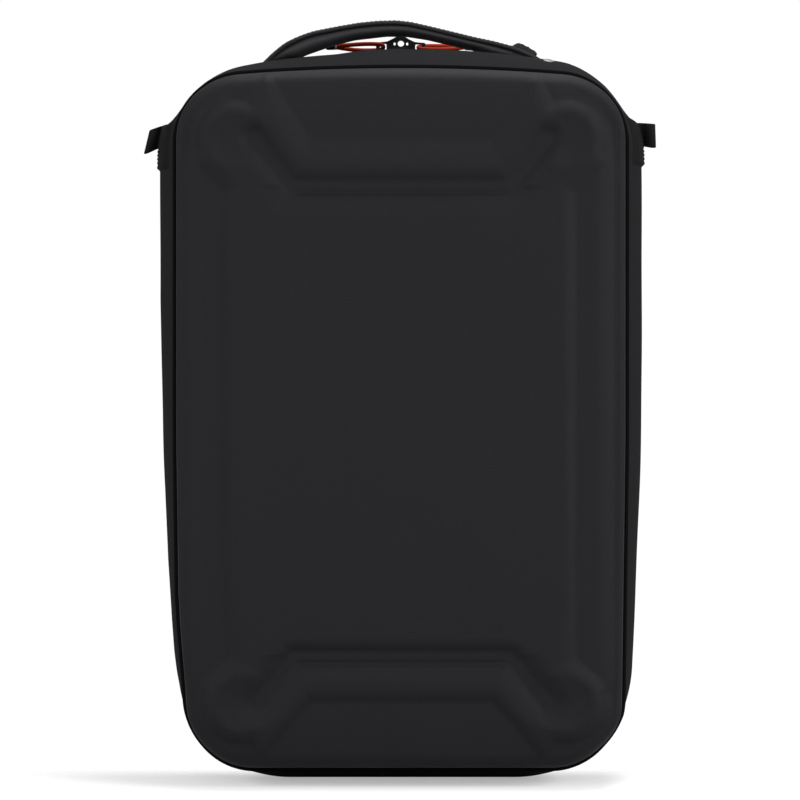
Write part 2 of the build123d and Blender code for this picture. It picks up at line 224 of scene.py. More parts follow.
def rounded_box(name, lo, hi, r=2.0, cuts=10, puff=0.0, seg=4):
    """A box with rounded edges and slightly crowned faces, in mm."""
    lo, hi = np.array(lo, float), np.array(hi, float)
    bm = bmesh.new()
    bmesh.ops.create_cube(bm, size=1.0)
    size = hi - lo
    for v in bm.verts:
        v.co = Vector(((np.array(v.co) + 0.5) * size + lo) * 0.001)
    r = min(r, 0.45 * size.min())
    bmesh.ops.bevel(bm, geom=list(bm.edges), offset=r * 0.001, segments=seg, profile=0.6, affect="EDGES")
    me = bpy.data.meshes.new(name)
    bm.to_mesh(me)
    bm.free()
    o = new_object(name, me)
    if cuts:
        fine_cut(o, max(size) / cuts)
    if puff:
        co = np.array([v.co for v in o.data.vertices]) * 1000
        mid, half = (lo + hi) / 2, size / 2
        q = np.clip((co - mid) / half, -1, 1)
        for k in range(3):
            a, b = [m for m in range(3) if m != k]
            dome = (1 - q[:, a] ** 2) * (1 - q[:, b] ** 2)
            co[:, k] += np.sign(q[:, k]) * puff * dome * smooth(0.5, 1.0, np.abs(q[:, k]))
        for v, c in zip(o.data.vertices, co):
            v.co = Vector(c * 0.001)
    autosmooth(o, 60)
    return o


def fine_cut(o, step):
    """Cuts a box-like mesh along X, Y and Z planes a step apart, in mm, so that it can crown."""
    bm = bmesh.new()
    bm.from_mesh(o.data)
    co = np.array([v.co for v in bm.verts]) * 1000
    lo, hi = co.min(0), co.max(0)
    for k in range(3):
        n = int((hi[k] - lo[k]) // step)
        for i in range(1, n + 1):
            at = lo[k] + (hi[k] - lo[k]) * i / (n + 1)
            p, no = Vector((0, 0, 0)), Vector((0, 0, 0))
            p[k], no[k] = at * 0.001, 1.0
            bmesh.ops.bisect_plane(bm, geom=[*bm.verts, *bm.edges, *bm.faces], plane_co=p, plane_no=no)
    bm.to_mesh(o.data)
    bm.free()


def plate(name, outer, holes, y0, y1, bevel=0.25, flip_x=False):
    """A flat plate in the XZ plane with holes, its edges rounded, in mm."""
    cu = bpy.data.curves.new(name, "CURVE")
    cu.dimensions = "2D"
    cu.fill_mode = "BOTH"
    for pts in [outer, *holes]:
        sp = cu.splines.new("POLY")
        sp.points.add(len(pts) - 1)
        for p, q in zip(sp.points, pts):
            p.co = (q[0] * 0.001, q[1] * 0.001, 0, 1)
        sp.use_cyclic_u = True
    half = (y1 - y0) / 2
    cu.extrude = (half - bevel) * 0.001
    cu.bevel_depth = bevel * 0.001
    cu.bevel_resolution = 2
    cu.offset = -bevel * 0.001
    o = new_object(name + "_c", cu)
    bpy.context.view_layer.update()
    me = bpy.data.meshes.new_from_object(o.evaluated_get(bpy.context.evaluated_depsgraph_get()))
    bpy.data.objects.remove(o)
    me.transform(Matrix.Rotation(math.pi / 2, 4, "X"))
    me.transform(Matrix.Translation((0, (y0 + y1) / 2 * 0.001, 0)))
    if flip_x:
        me.transform(Matrix.Scale(-1, 4, (1, 0, 0)))
    me.name = name
    return fix_normals(new_object(name, me))


def circle(cx, cz, rx, rz=None, n=28):
    rz = rx if rz is None else rz
    return [(cx + rx * math.cos(2 * math.pi * i / n), cz + rz * math.sin(2 * math.pi * i / n)) for i in range(n)]


def rounded(points, r, n=5):
    """A polygon with its corners rounded."""
    out = []
    m = len(points)
    for i in range(m):
        p, a, b = np.array(points[i], float), np.array(points[i - 1], float), np.array(points[(i + 1) % m], float)
        u, v = (a - p), (b - p)
        lu, lv = np.linalg.norm(u), np.linalg.norm(v)
        k = min(r, 0.45 * lu, 0.45 * lv)
        s, e = p + u / lu * k, p + v / lv * k
        for t in np.linspace(0, 1, n):
            out.append(tuple((1 - t) ** 2 * s + 2 * t * (1 - t) * p + t * t * e))
    return out


def join(name, objs):
    bm = bmesh.new()
    mats = []
    for o in objs:
        me = o.data
        index = []
        for m in me.materials:
            if m not in mats:
                mats.append(m)
            index.append(mats.index(m))
        start = len(bm.faces)
        bm.from_mesh(me)
        bm.faces.ensure_lookup_table()
        for f in bm.faces[start:]:
            f.material_index = index[f.material_index] if index else 0
    me = bpy.data.meshes.new(name)
    bm.to_mesh(me)
    bm.free()
    for m in mats:
        me.materials.append(m)
    for o in objs:
        bpy.data.objects.remove(o)
    return new_object(name, me)


def stitches(name, pts, nor, pitch=3.4, length=2.6, radius=0.32, lift=0.12, width_dir=None):
    """A row of thread stitches along a path. pts (N, 3) in mm, nor (N, 3) outward normals."""
    pts, nor = np.array(pts, float), np.array(nor, float)
    s = np.concatenate([[0], np.cumsum(np.linalg.norm(np.diff(pts, axis=0), axis=1))])
    at = np.arange(pitch / 2, s[-1] - length / 2, pitch)
    k = 6
    ring = [(math.cos(2 * math.pi * i / k), math.sin(2 * math.pi * i / k)) for i in range(k)]
    V, F = [], []
    stations = [(-0.5, 0.25, -0.5), (-0.34, 0.85, 0.0), (0.0, 1.0, 0.25), (0.34, 0.85, 0.0), (0.5, 0.25, -0.5)]
    for c in at:
        base = len(V)
        p = np.array([np.interp(c, s, pts[:, i]) for i in range(3)])
        q = np.array([np.interp(c + 0.5, s, pts[:, i]) for i in range(3)]) - np.array([np.interp(c - 0.5, s, pts[:, i]) for i in range(3)])
        q /= max(np.linalg.norm(q), 1e-9)
        n = np.array([np.interp(c, s, nor[:, i]) for i in range(3)])
        n /= np.linalg.norm(n)
        w = np.cross(q, n)
        for along, scale, up in stations:
            for a, b in ring:
                V.append(p + q * along * length + n * (lift + up * radius + b * radius * scale) + w * a * radius * scale)
        for r in range(len(stations) - 1):
            for i in range(k):
                F.append((base + r * k + i, base + r * k + (i + 1) % k, base + (r + 1) * k + (i + 1) % k, base + (r + 1) * k + i))
        F.append(tuple(base + i for i in range(k))[::-1])
        F.append(tuple(base + (len(stations) - 1) * k + i for i in range(k)))
    me = bpy.data.meshes.new(name)
    me.from_pydata((np.array(V) * 0.001).tolist(), [], F)
    shade_smooth(me)
    return fix_normals(new_object(name, me))


def soften(node, name, bevel=2.5, voxel=3.0, wave=0.0, smooth_steps=6):
    """A soft piece in the place of a CAD solid: its edges rounded and its faces a little uneven."""
    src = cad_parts[node]
    me = src.data.copy()
    me.materials.clear()
    o = new_object(name, me)
    w = o.modifiers.new("weld", "WELD"); w.merge_threshold = 1e-5
    b = o.modifiers.new("bevel", "BEVEL"); b.width = bevel * 0.001; b.segments = 3; b.limit_method = "ANGLE"; b.angle_limit = math.radians(40); b.use_clamp_overlap = True
    r = o.modifiers.new("remesh", "REMESH"); r.mode = "VOXEL"; r.voxel_size = voxel * 0.001; r.use_smooth_shade = True
    s = o.modifiers.new("smooth", "SMOOTH"); s.factor = 0.5; s.iterations = smooth_steps
    apply_modifiers(o)
    if wave:
        co = np.zeros(len(o.data.vertices) * 3, np.float32)
        o.data.vertices.foreach_get("co", co)
        co = co.reshape(-1, 3)
        no = np.zeros(len(o.data.vertices) * 3, np.float32)
        o.data.vertices.foreach_get("normal", no)
        no = no.reshape(-1, 3)
        x, y, z = co.T * 1000
        k = np.sin(x / 17 + 1.3 * np.sin(z / 31)) * np.sin(z / 23 + np.sin(y / 19)) + 0.5 * np.sin(x / 7.3 + z / 9.1)
        co += no * (k * wave * 0.001 - wave * 0.001)[:, None]
        o.data.vertices.foreach_set("co", co.ravel())
    shade_smooth(o.data)
    return o


# ------------------------------------------------------------------ materials
def nodes_of(mat):
    mat.use_nodes = True
    nt = mat.node_tree
    return nt, next(n for n in nt.nodes if n.type == "BSDF_PRINCIPLED")


def math_node(nt, op, a, b=None, c=None, clamp=False):
    n = nt.nodes.new("ShaderNodeMath")
    n.operation = op
    n.use_clamp = clamp
    for i, v in enumerate((a, b, c)):
        if v is None:
            continue
        if isinstance(v, (int, float)):
            n.inputs[i].default_value = v
        else:
            nt.links.new(v, n.inputs[i])
    return n.outputs[0]


def coords(nt, kind):
    tc = nt.nodes.new("ShaderNodeTexCoord")
    return tc.outputs["UV" if kind == "uv" else "Object"]


def weave_height(nt, vec, pitch_u, pitch_v, kind="plain", axes=("X", "Y")):
    sep = nt.nodes.new("ShaderNodeSeparateXYZ")
    nt.links.new(vec, sep.inputs[0])
    U = math_node(nt, "MULTIPLY", sep.outputs[axes[0]], 1.0 / pitch_u)
    V = math_node(nt, "MULTIPLY", sep.outputs[axes[1]], 1.0 / pitch_v)
    su = math_node(nt, "ABSOLUTE", math_node(nt, "SINE", math_node(nt, "MULTIPLY", U, math.pi)))
    sv = math_node(nt, "ABSOLUTE", math_node(nt, "SINE", math_node(nt, "MULTIPLY", V, math.pi)))
    total = math_node(nt, "ADD", math_node(nt, "FLOOR", U), math_node(nt, "FLOOR", V))
    if kind == "plain":
        p = math_node(nt, "LESS_THAN", math_node(nt, "FLOORED_MODULO", total, 2.0), 0.5)
    elif kind == "basket":
        total = math_node(nt, "ADD", math_node(nt, "FLOOR", math_node(nt, "MULTIPLY", U, 0.5)), math_node(nt, "FLOOR", math_node(nt, "MULTIPLY", V, 0.5)))
        p = math_node(nt, "LESS_THAN", math_node(nt, "FLOORED_MODULO", total, 2.0), 0.5)
    else:  # twill
        p = math_node(nt, "LESS_THAN", math_node(nt, "FLOORED_MODULO", total, 4.0), 1.5)
    a = math_node(nt, "MULTIPLY", su, math_node(nt, "MULTIPLY_ADD", sv, 0.45, 0.55))
    b = math_node(nt, "MULTIPLY", sv, math_node(nt, "MULTIPLY_ADD", su, 0.45, 0.55))
    q = math_node(nt, "SUBTRACT", 1.0, p)
    return math_node(nt, "ADD", math_node(nt, "MULTIPLY", p, a), math_node(nt, "MULTIPLY", q, b))


def noise(nt, vec, scale, detail=3.0, rough=0.55):
    n = nt.nodes.new("ShaderNodeTexNoise")
    n.inputs["Scale"].default_value = scale
    n.inputs["Detail"].default_value = detail
    n.inputs["Roughness"].default_value = rough
    nt.links.new(vec, n.inputs["Vector"])
    return n.outputs["Fac"]


def ramp(nt, fac, stops):
    n = nt.nodes.new("ShaderNodeValToRGB")
    e = n.color_ramp.elements
    while len(e) > 1:
        e.remove(e[-1])
    e[0].position, e[0].color = stops[0][0], (*stops[0][1], 1)
    for pos, col in stops[1:]:
        k = e.new(pos)
        k.color = (*col, 1)
    nt.links.new(fac, n.inputs[0])
    return n.outputs[0]


def scale_colour(c, k):
    return tuple(min(1.0, x * k) for x in c)


def fabric(name, colour, pitch=0.8, kind="plain", coord="uv", axes=("X", "Y"), rough=0.72, bump=0.35, depth=0.18, sheen=0.12, vary=0.10, contrast=0.35, pitch_v=None, spec=0.35, fuzz=0.0, tint=None):
    """A woven fabric with threads of `pitch` mm."""
    mat = bpy.data.materials.new(name)
    nt, bsdf = nodes_of(mat)
    vec = coords(nt, coord)
    obj = coords(nt, "obj")
    h = weave_height(nt, vec, pitch * 0.001, (pitch_v or pitch) * 0.001, kind, axes)
    broad = noise(nt, obj, 14.0, 4.0, 0.6)
    fine = noise(nt, obj, 900.0, 2.0, 0.5)
    # the colour follows the weave's height: painted shade in the hollows between threads and a painted highlight on the
    # thread crowns; the two noises add random tone
    tone = math_node(nt, "ADD", math_node(nt, "MULTIPLY_ADD", h, contrast, 0.5 - contrast * 0.5), math_node(nt, "MULTIPLY_ADD", broad, vary * 2, -vary))
    tone = math_node(nt, "ADD", tone, math_node(nt, "MULTIPLY_ADD", fine, 0.16, -0.08), clamp=True)
    colour_out = ramp(nt, tone, [(0.0, scale_colour(colour, 0.45)), (0.5, colour), (1.0, scale_colour(tint or colour, 1.7))])
    nt.links.new(colour_out, bsdf.inputs["Base Color"])
    r = math_node(nt, "MULTIPLY_ADD", h, -0.10, rough + 0.05)
    r = math_node(nt, "ADD", r, math_node(nt, "MULTIPLY_ADD", broad, 0.12, -0.06), clamp=True)
    nt.links.new(r, bsdf.inputs["Roughness"])
    total = h if not fuzz else math_node(nt, "ADD", h, math_node(nt, "MULTIPLY", fine, fuzz))
    b = nt.nodes.new("ShaderNodeBump")
    b.inputs["Strength"].default_value = bump
    b.inputs["Distance"].default_value = depth * 0.001
    nt.links.new(total, b.inputs["Height"])
    nt.links.new(b.outputs[0], bsdf.inputs["Normal"])
    bsdf.inputs["Specular IOR Level"].default_value = spec
    bsdf.inputs["Sheen Weight"].default_value = sheen
    bsdf.inputs["Sheen Roughness"].default_value = 0.45
    return mat


def ribbed(name, colour, rib=1.6, coord="uv", along="X", rough=0.62, bump=0.6, depth=0.35, sheen=0.1, spec=0.4):
    """Nylon webbing: ribs across its width and fine threads along it."""
    mat = bpy.data.materials.new(name)
    nt, bsdf = nodes_of(mat)
    vec = coords(nt, coord)
    obj = coords(nt, "obj")
    sep = nt.nodes.new("ShaderNodeSeparateXYZ")
    nt.links.new(vec, sep.inputs[0])
    other = {"X": "Y", "Y": "X", "Z": "X"}[along]
    U = math_node(nt, "MULTIPLY", sep.outputs[along], math.pi * 1000.0 / rib)
    V = math_node(nt, "MULTIPLY", sep.outputs[other], math.pi * 1000.0 / (rib * 0.75))
    chev = math_node(nt, "ABSOLUTE", math_node(nt, "SINE", math_node(nt, "ADD", U, math_node(nt, "MULTIPLY", math_node(nt, "PINGPONG", V, math.pi), 0.5))))
    sv = math_node(nt, "ABSOLUTE", math_node(nt, "SINE", V))
    h = math_node(nt, "MULTIPLY", chev, math_node(nt, "MULTIPLY_ADD", sv, 0.5, 0.5))
    fine = noise(nt, obj, 1200.0, 2.0)
    broad = noise(nt, obj, 60.0, 3.0)
    # the colour follows the ribs' height: painted shade between the ribs and a painted highlight on their crowns; the
    # noises add random tone
    tone = math_node(nt, "ADD", math_node(nt, "MULTIPLY_ADD", h, 0.6, 0.15), math_node(nt, "MULTIPLY_ADD", fine, 0.2, -0.1))
    tone = math_node(nt, "ADD", tone, math_node(nt, "MULTIPLY_ADD", broad, 0.16, -0.08), clamp=True)
    nt.links.new(ramp(nt, tone, [(0.0, scale_colour(colour, 0.35)), (0.5, colour), (1.0, scale_colour(colour, 2.1))]), bsdf.inputs["Base Color"])
    r = math_node(nt, "MULTIPLY_ADD", h, -0.12, rough + 0.06, clamp=True)
    nt.links.new(r, bsdf.inputs["Roughness"])
    b = nt.nodes.new("ShaderNodeBump")
    b.inputs["Strength"].default_value = bump
    b.inputs["Distance"].default_value = depth * 0.001
    nt.links.new(h, b.inputs["Height"])
    nt.links.new(b.outputs[0], bsdf.inputs["Normal"])
    bsdf.inputs["Specular IOR Level"].default_value = spec
    bsdf.inputs["Sheen Weight"].default_value = sheen
    return mat


def grain(name, colour, rough=0.45, scale=1500.0, bump=0.2, depth=0.05, metallic=0.0, vary=0.12, spec=0.5, wear=0.0, wear_colour=(0.2, 0.2, 0.2), sheen=0.0, coat=0.0):
    """Moulded plastic, paint, foam: a fine grain with slow variation."""
    mat = bpy.data.materials.new(name)
    nt, bsdf = nodes_of(mat)
    obj = coords(nt, "obj")
    fine, broad = noise(nt, obj, scale, 3.0), noise(nt, obj, 45.0, 4.0, 0.6)
    tone = math_node(nt, "ADD", math_node(nt, "MULTIPLY_ADD", fine, 0.3, 0.35), math_node(nt, "MULTIPLY_ADD", broad, vary * 2, -vary), clamp=True)
    out = ramp(nt, tone, [(0.0, scale_colour(colour, 0.6)), (0.5, colour), (1.0, scale_colour(colour, 1.45))])
    nt.links.new(out, bsdf.inputs["Base Color"])
    r = math_node(nt, "MULTIPLY_ADD", broad, 0.2, rough - 0.1)
    r = math_node(nt, "ADD", r, math_node(nt, "MULTIPLY_ADD", fine, 0.1, -0.05), clamp=True)
    nt.links.new(r, bsdf.inputs["Roughness"])
    b = nt.nodes.new("ShaderNodeBump")
    b.inputs["Strength"].default_value = bump
    b.inputs["Distance"].default_value = depth * 0.001
    nt.links.new(fine, b.inputs["Height"])
    nt.links.new(b.outputs[0], bsdf.inputs["Normal"])
    bsdf.inputs["Metallic"].default_value = metallic
    bsdf.inputs["Specular IOR Level"].default_value = spec
    bsdf.inputs["Sheen Weight"].default_value = sheen
    bsdf.inputs["Coat Weight"].default_value = coat
    return mat


SHELL_C = (0.0083, 0.0081, 0.0098)
M = {
    "shell": fabric("shell_cloth", SHELL_C, pitch=0.9, kind="plain", rough=0.55, bump=0.9, depth=0.14, sheen=0.0, vary=0.07, contrast=0.7, spec=0.10),
    "gusset": fabric("gusset_twill", (0.0112, 0.0111, 0.0122), pitch=0.8, kind="twill", rough=0.78, bump=0.8, depth=0.20, sheen=0.0, vary=0.08, contrast=0.6, spec=0.04),
    "piping": fabric("piping_cloth", (0.0042, 0.0042, 0.0045), pitch=0.7, kind="plain", rough=0.9, bump=0.4, depth=0.10, sheen=0.0, spec=0.0),
    "tape": fabric("zip_tape_cloth", (0.0030, 0.0030, 0.0032), pitch=0.9, kind="twill", rough=0.7, bump=0.6, depth=0.2, sheen=0.02, contrast=0.5, spec=0.08),
    "coil": grain("zip_nylon", (0.0035, 0.0035, 0.0038), rough=0.38, scale=2200, bump=0.1, spec=0.25),
    "webbing": ribbed("webbing_nylon", (0.0150, 0.0150, 0.0162), sheen=0.02, spec=0.18),
    "loopweb": ribbed("loop_webbing", (0.0050, 0.0050, 0.0055), rib=1.3, depth=0.25, sheen=0.0, spec=0.06),
    "roll": fabric("handle_cloth", (0.0240, 0.0240, 0.0262), pitch=0.6, kind="plain", rough=0.60, bump=0.3, depth=0.10, sheen=0.02, spec=0.18),
    "metal": grain("slider_paint", (0.0045, 0.0045, 0.0048), rough=0.36, scale=1800, bump=0.08, metallic=0.0, spec=0.35),
    "end": grain("cord_end_plastic", (0.0060, 0.0080, 0.0080), rough=0.4, scale=2500, bump=0.1, spec=0.3),
    "collar": grain("collar_plastic", (0.62, 0.62, 0.68), rough=0.45, scale=2500, bump=0.1),
    "grey": grain("grey_button", (0.16, 0.16, 0.17), rough=0.35, scale=2500, bump=0.1),
    "thread": grain("thread", (0.0100, 0.0100, 0.0110), rough=0.55, scale=3000, bump=0.3, spec=0.2),
    "foam": fabric("foam_cloth", (0.0300, 0.0300, 0.0320), pitch=0.7, kind="plain", coord="obj", axes=("X", "Z"), rough=0.85, bump=0.35, depth=0.12, sheen=0.10, vary=0.12, fuzz=0.8, spec=0.12),
    "lining": fabric("lining_knit", (0.0420, 0.0420, 0.0450), pitch=1.1, kind="twill", coord="obj", axes=("X", "Z"), rough=0.8, bump=0.4, depth=0.15, sheen=0.10, spec=0.12),
    "divider": fabric("divider_nylon", (0.0600, 0.0600, 0.0640), pitch=0.8, kind="plain", coord="obj", axes=("X", "Y"), rough=0.78, bump=0.4, depth=0.14, sheen=0.10, spec=0.15),
    "strap": ribbed("strap_webbing", (0.0120, 0.0120, 0.0130), coord="obj", along="X", sheen=0.02, spec=0.2),
    "back": fabric("air_mesh", (0.0110, 0.0110, 0.0120), pitch=2.2, kind="plain", rough=0.78, bump=0.9, depth=0.55, sheen=0.05, contrast=0.7, spec=0.12),
    "net": fabric("pocket_net", (0.0300, 0.0300, 0.0320), pitch=2.6, kind="basket", coord="obj", axes=("X", "Z"), rough=0.75, bump=1.0, depth=0.7, sheen=0.08, contrast=1.6, spec=0.12),
    "board": grain("board_plastic", (0.02, 0.02, 0.02), rough=0.6, scale=900, spec=0.2),
}

# braided orange cord
def braid(name, colour):
    mat = bpy.data.materials.new(name)
    nt, bsdf = nodes_of(mat)
    vec = coords(nt, "uv")
    obj = coords(nt, "obj")
    sep = nt.nodes.new("ShaderNodeSeparateXYZ")
    nt.links.new(vec, sep.inputs[0])
    u, v = sep.outputs["X"], sep.outputs["Y"]
    a = math_node(nt, "MULTIPLY", u, 62.0)
    b = math_node(nt, "MULTIPLY", v, 8.0)
    s1 = math_node(nt, "ABSOLUTE", math_node(nt, "SINE", math_node(nt, "MULTIPLY", math_node(nt, "ADD", a, b), math.pi)))
    s2 = math_node(nt, "ABSOLUTE", math_node(nt, "SINE", math_node(nt, "MULTIPLY", math_node(nt, "SUBTRACT", a, b), math.pi)))
    h = math_node(nt, "MAXIMUM", s1, s2)
    fine = noise(nt, obj, 2500.0, 2.0)
    # the colour follows the braid's height: painted shade between the strands and a painted highlight on their crowns;
    # the noise adds random tone
    tone = math_node(nt, "ADD", math_node(nt, "MULTIPLY_ADD", h, 0.55, 0.05), math_node(nt, "MULTIPLY_ADD", fine, 0.3, -0.15), clamp=True)
    nt.links.new(ramp(nt, tone, [(0.0, scale_colour(colour, 0.45)), (0.5, colour), (1.0, scale_colour(colour, 1.35))]), bsdf.inputs["Base Color"])
    bp = nt.nodes.new("ShaderNodeBump")
    bp.inputs["Strength"].default_value = 0.6
    bp.inputs["Distance"].default_value = 0.0002
    nt.links.new(h, bp.inputs["Height"])
    nt.links.new(bp.outputs[0], bsdf.inputs["Normal"])
    bsdf.inputs["Roughness"].default_value = 0.62
    bsdf.inputs["Specular IOR Level"].default_value = 0.15
    bsdf.inputs["Sheen Weight"].default_value = 0.0
    return mat


M["cord"] = braid("cord_braid", (0.36, 0.021, 0.002))


def settle(o, body):
    """The filled case isn't quite even: its cloth sides sink a little at the top corners, more on the left, and its left side draws in towards the foot."""
    if body in ("pull_left", "pull_right", "zip_slider_left", "zip_slider_right", "loop_left", "loop_right"):
        return
    n = len(o.data.vertices)
    co = np.zeros(n * 3, np.float32)
    o.data.vertices.foreach_get("co", co)
    co = co.reshape(-1, 3).astype(float) * 1000
    x, y, z = co.T
    cloth = smooth(-61, -42, y)
    sink = np.interp(x, [-154, -152, -147, -141, -136, -120, -95, -45, -22, 115, 124, 130, 135, 141, 146.5, 152, 154], [9.0, 9.0, 7.4, 5.4, 4.6, 3.4, 2.5, 2.2, 0, 0, 0.7, 1.4, 2.0, 2.7, 4.0, 5.4, 5.4])
    if o.name.startswith("handle_"):
        sink = sink * (1 - smooth(-94, -78, x))
    # the zip stays taut along the way the sliders run
    sink = sink * (1 - (1 - smooth(12, 21, np.abs(y - 4.0))) * smooth(-120, -105, x))
    left_body = np.interp(z, [0, 25, 46, 67, 87, 108, 150, 200, 253, 330], [6.9, 6.9, 5.8, 5.3, 3.5, 2.8, 2.0, 2.3, 1.9, 0])
    left_shell = np.interp(z, [0, 25, 46, 67, 87, 108, 130], [6.0, 6.0, 5.0, 4.0, 2.5, 1.0, 0])
    right = np.interp(z, [0, 25, 46], [2.6, 2.6, 0])
    pull = np.where(x < 0, cloth * left_body + (1 - cloth) * left_shell, right) * np.clip(np.abs(x) / 158, 0, 1)
    if o.name.startswith(("foam_wall_left", "foam_wall_right", "divider_", "drone_", "hold_", "strap_", "mesh_", "pocket_")):
        pull = pull * smooth(141, 152, np.abs(x))
    co[:, 2] -= sink * smooth(446, 466, z) * cloth
    co[:, 0] -= np.sign(x) * pull
    o.data.vertices.foreach_set("co", (co * 0.001).astype(np.float32).ravel())
    o.data.update()


def dress(o, mat, body=None):
    settle(o, body)
    o.data.materials.clear()
    o.data.materials.append(M[mat])
    if body:
        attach(o, body)
    return o


# ------------------------------------------------------------------ camera and cords first
cam = bpy.data.cameras.new("camera")
DIST = 1.700
cam.sensor_width = 36.0
FOCAL_PX = 1.446 * (DIST * 1000 - 34)
cam.lens = FOCAL_PX * 36.0 / 800.0
cam.clip_start, cam.clip_end = 0.05, 30
camera = bpy.data.objects.new("camera", cam)
bpy.context.scene.collection.objects.link(camera)
camera.location = (0.0, -DIST, 0.250)
camera.rotation_euler = (math.pi / 2, 0, 0)
cam.shift_y = 15.0 / 800.0
cam.shift_x = -0.9 / 800.0
bpy.context.scene.camera = camera

YP = Y_ZIP - 1.25
ROUTE = [
    (-45.5, YP - 1.6, 510.6),
    (-39.0, YP - 2.0, 511.0),
    (-30.0, YP - 2.9, 511.6),
    (-21.0, YP - 3.4, 511.8),
    (-12.3, YP - 3.3, 511.4),
    (-12.5, YP + 3.3, 508.7),
    (-21.0, YP + 3.4, 508.2),
    (-30.0, YP + 2.9, 508.2),
    (-39.0, YP + 2.0, 509.0),
    (-45.5, YP + 1.6, 510.1),
]
for s, side in ((-1, "left"), (1, "right")):
    route = ROUTE if s < 0 else [(-x, 2 * Y_ZIP - y, z) for x, y, z in ROUTE]
    cu = bpy.data.curves.new(f"pull_cord_{side}_visual", "CURVE")
    cu.dimensions = "3D"
    cu.bevel_depth = 0.0015
    cu.bevel_resolution = 5
    cu.resolution_u = 10
    cu.use_fill_caps = True
    sp = cu.splines.new("NURBS")
    sp.points.add(len(route) - 1)
    for p, q in zip(sp.points, route):
        p.co = (q[0] * 0.001, q[1] * 0.001, q[2] * 0.001, 1)
    sp.order_u = 3
    sp.use_endpoint_u = True
    o = new_object(f"pull_cord_{side}_visual", cu)
    o.data.materials.append(M["cord"])
    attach(o, f"pull_{side}")
    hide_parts(f"pull_cord_{side}")
    # the end piece: a flat tapered moulding, and the pale collar before it
    a, b = np.array(route[0]), np.array(route[-1])
    m = (a + b) / 2
    out = np.array([s, 0, -0.10]); out /= np.linalg.norm(out)
    up = np.array([0.10 * s, 0, 1.0]); up /= np.linalg.norm(up)
    yv = np.array([0, 1.0, 0])

    def body_of_revolution(name, rows, power=2.6):
        rows_p = []
        for along, hy, hz in rows:
            ring = []
            for k in range(28):
                t = 2 * math.pi * k / 28
                c, si = math.cos(t), math.sin(t)
                ring.append(m + out * along + yv * hy * math.copysign(abs(c) ** (2 / power), c) + up * hz * math.copysign(abs(si) ** (2 / power), si))
            rows_p.append(ring)
        P = np.array(rows_p).transpose(1, 0, 2)
        o = grid_mesh(name, P, wrap_u=True, caps=(0, len(rows) - 1))
        return fix_normals(o)

    end = body_of_revolution(f"pull_end_{side}_visual", [(1.0, 2.9, 1.8), (1.25, 3.2, 2.0), (3.0, 3.2, 1.95), (6.0, 2.9, 1.75), (7.2, 2.5, 1.5), (7.55, 1.6, 0.9)])
    autosmooth(end, 50)
    dress(end, "end", f"pull_{side}")
    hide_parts(f"pull_end_{side}")
    collar = body_of_revolution(f"pull_collar_{side}_visual", [(-0.05, 3.0, 1.9), (0.12, 3.4, 2.15), (0.85, 3.4, 2.15), (1.0, 3.1, 1.95)])
    autosmooth(collar, 40)
    dress(collar, "collar", f"pull_{side}")
    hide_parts(f"pull_collar_{side}")


# ------------------------------------------------------------------ front shell
SP, SN, SS = outline(**SHELL)


def polygon_sdf(px, pz, poly):
    """Signed distance to a polygon, negative inside."""
    d = np.full(px.shape, 1e9)
    inside = np.zeros(px.shape, bool)
    n = len(poly)
    for i in range(n):
        ax, az = poly[i]
        bx, bz = poly[(i + 1) % n]
        ex, ez = bx - ax, bz - az
        wx, wz = px - ax, pz - az
        t = np.clip((wx * ex + wz * ez) / (ex * ex + ez * ez), 0, 1)
        d = np.minimum(d, np.hypot(wx - ex * t, wz - ez * t))
        c = ((az <= pz) & (bz > pz)) | ((bz <= pz) & (az > pz))
        with np.errstate(divide="ignore", invalid="ignore"):
            x = ax + (pz - az) / (bz - az) * ex if bz != az else np.full(px.shape, np.inf)
        inside ^= c & (px < x)
    return np.where(inside, -d, d)


def path_dist(px, pz, path):
    d = np.full(px.shape, 1e9)
    for (ax, az), (bx, bz) in zip(path[:-1], path[1:]):
        ex, ez = bx - ax, bz - az
        t = np.clip(((px - ax) * ex + (pz - az) * ez) / (ex * ex + ez * ez), 0, 1)
        d = np.minimum(d, np.hypot(px - ax - ex * t, pz - az - ez * t))
    return d


def smax(a, b, k=0.15):
    h = np.clip(0.5 + 0.5 * (a - b) / k, 0, 1)
    return b + (a - b) * h + k * h * (1 - h)


def bevelled(inside, drop, width):
    """Falls by `drop` over `width` as a region's edge is neared: rounded at the top of the wall, a crease at its foot."""
    return -drop * np.clip(1 - inside / width, 0, 1) ** 1.8


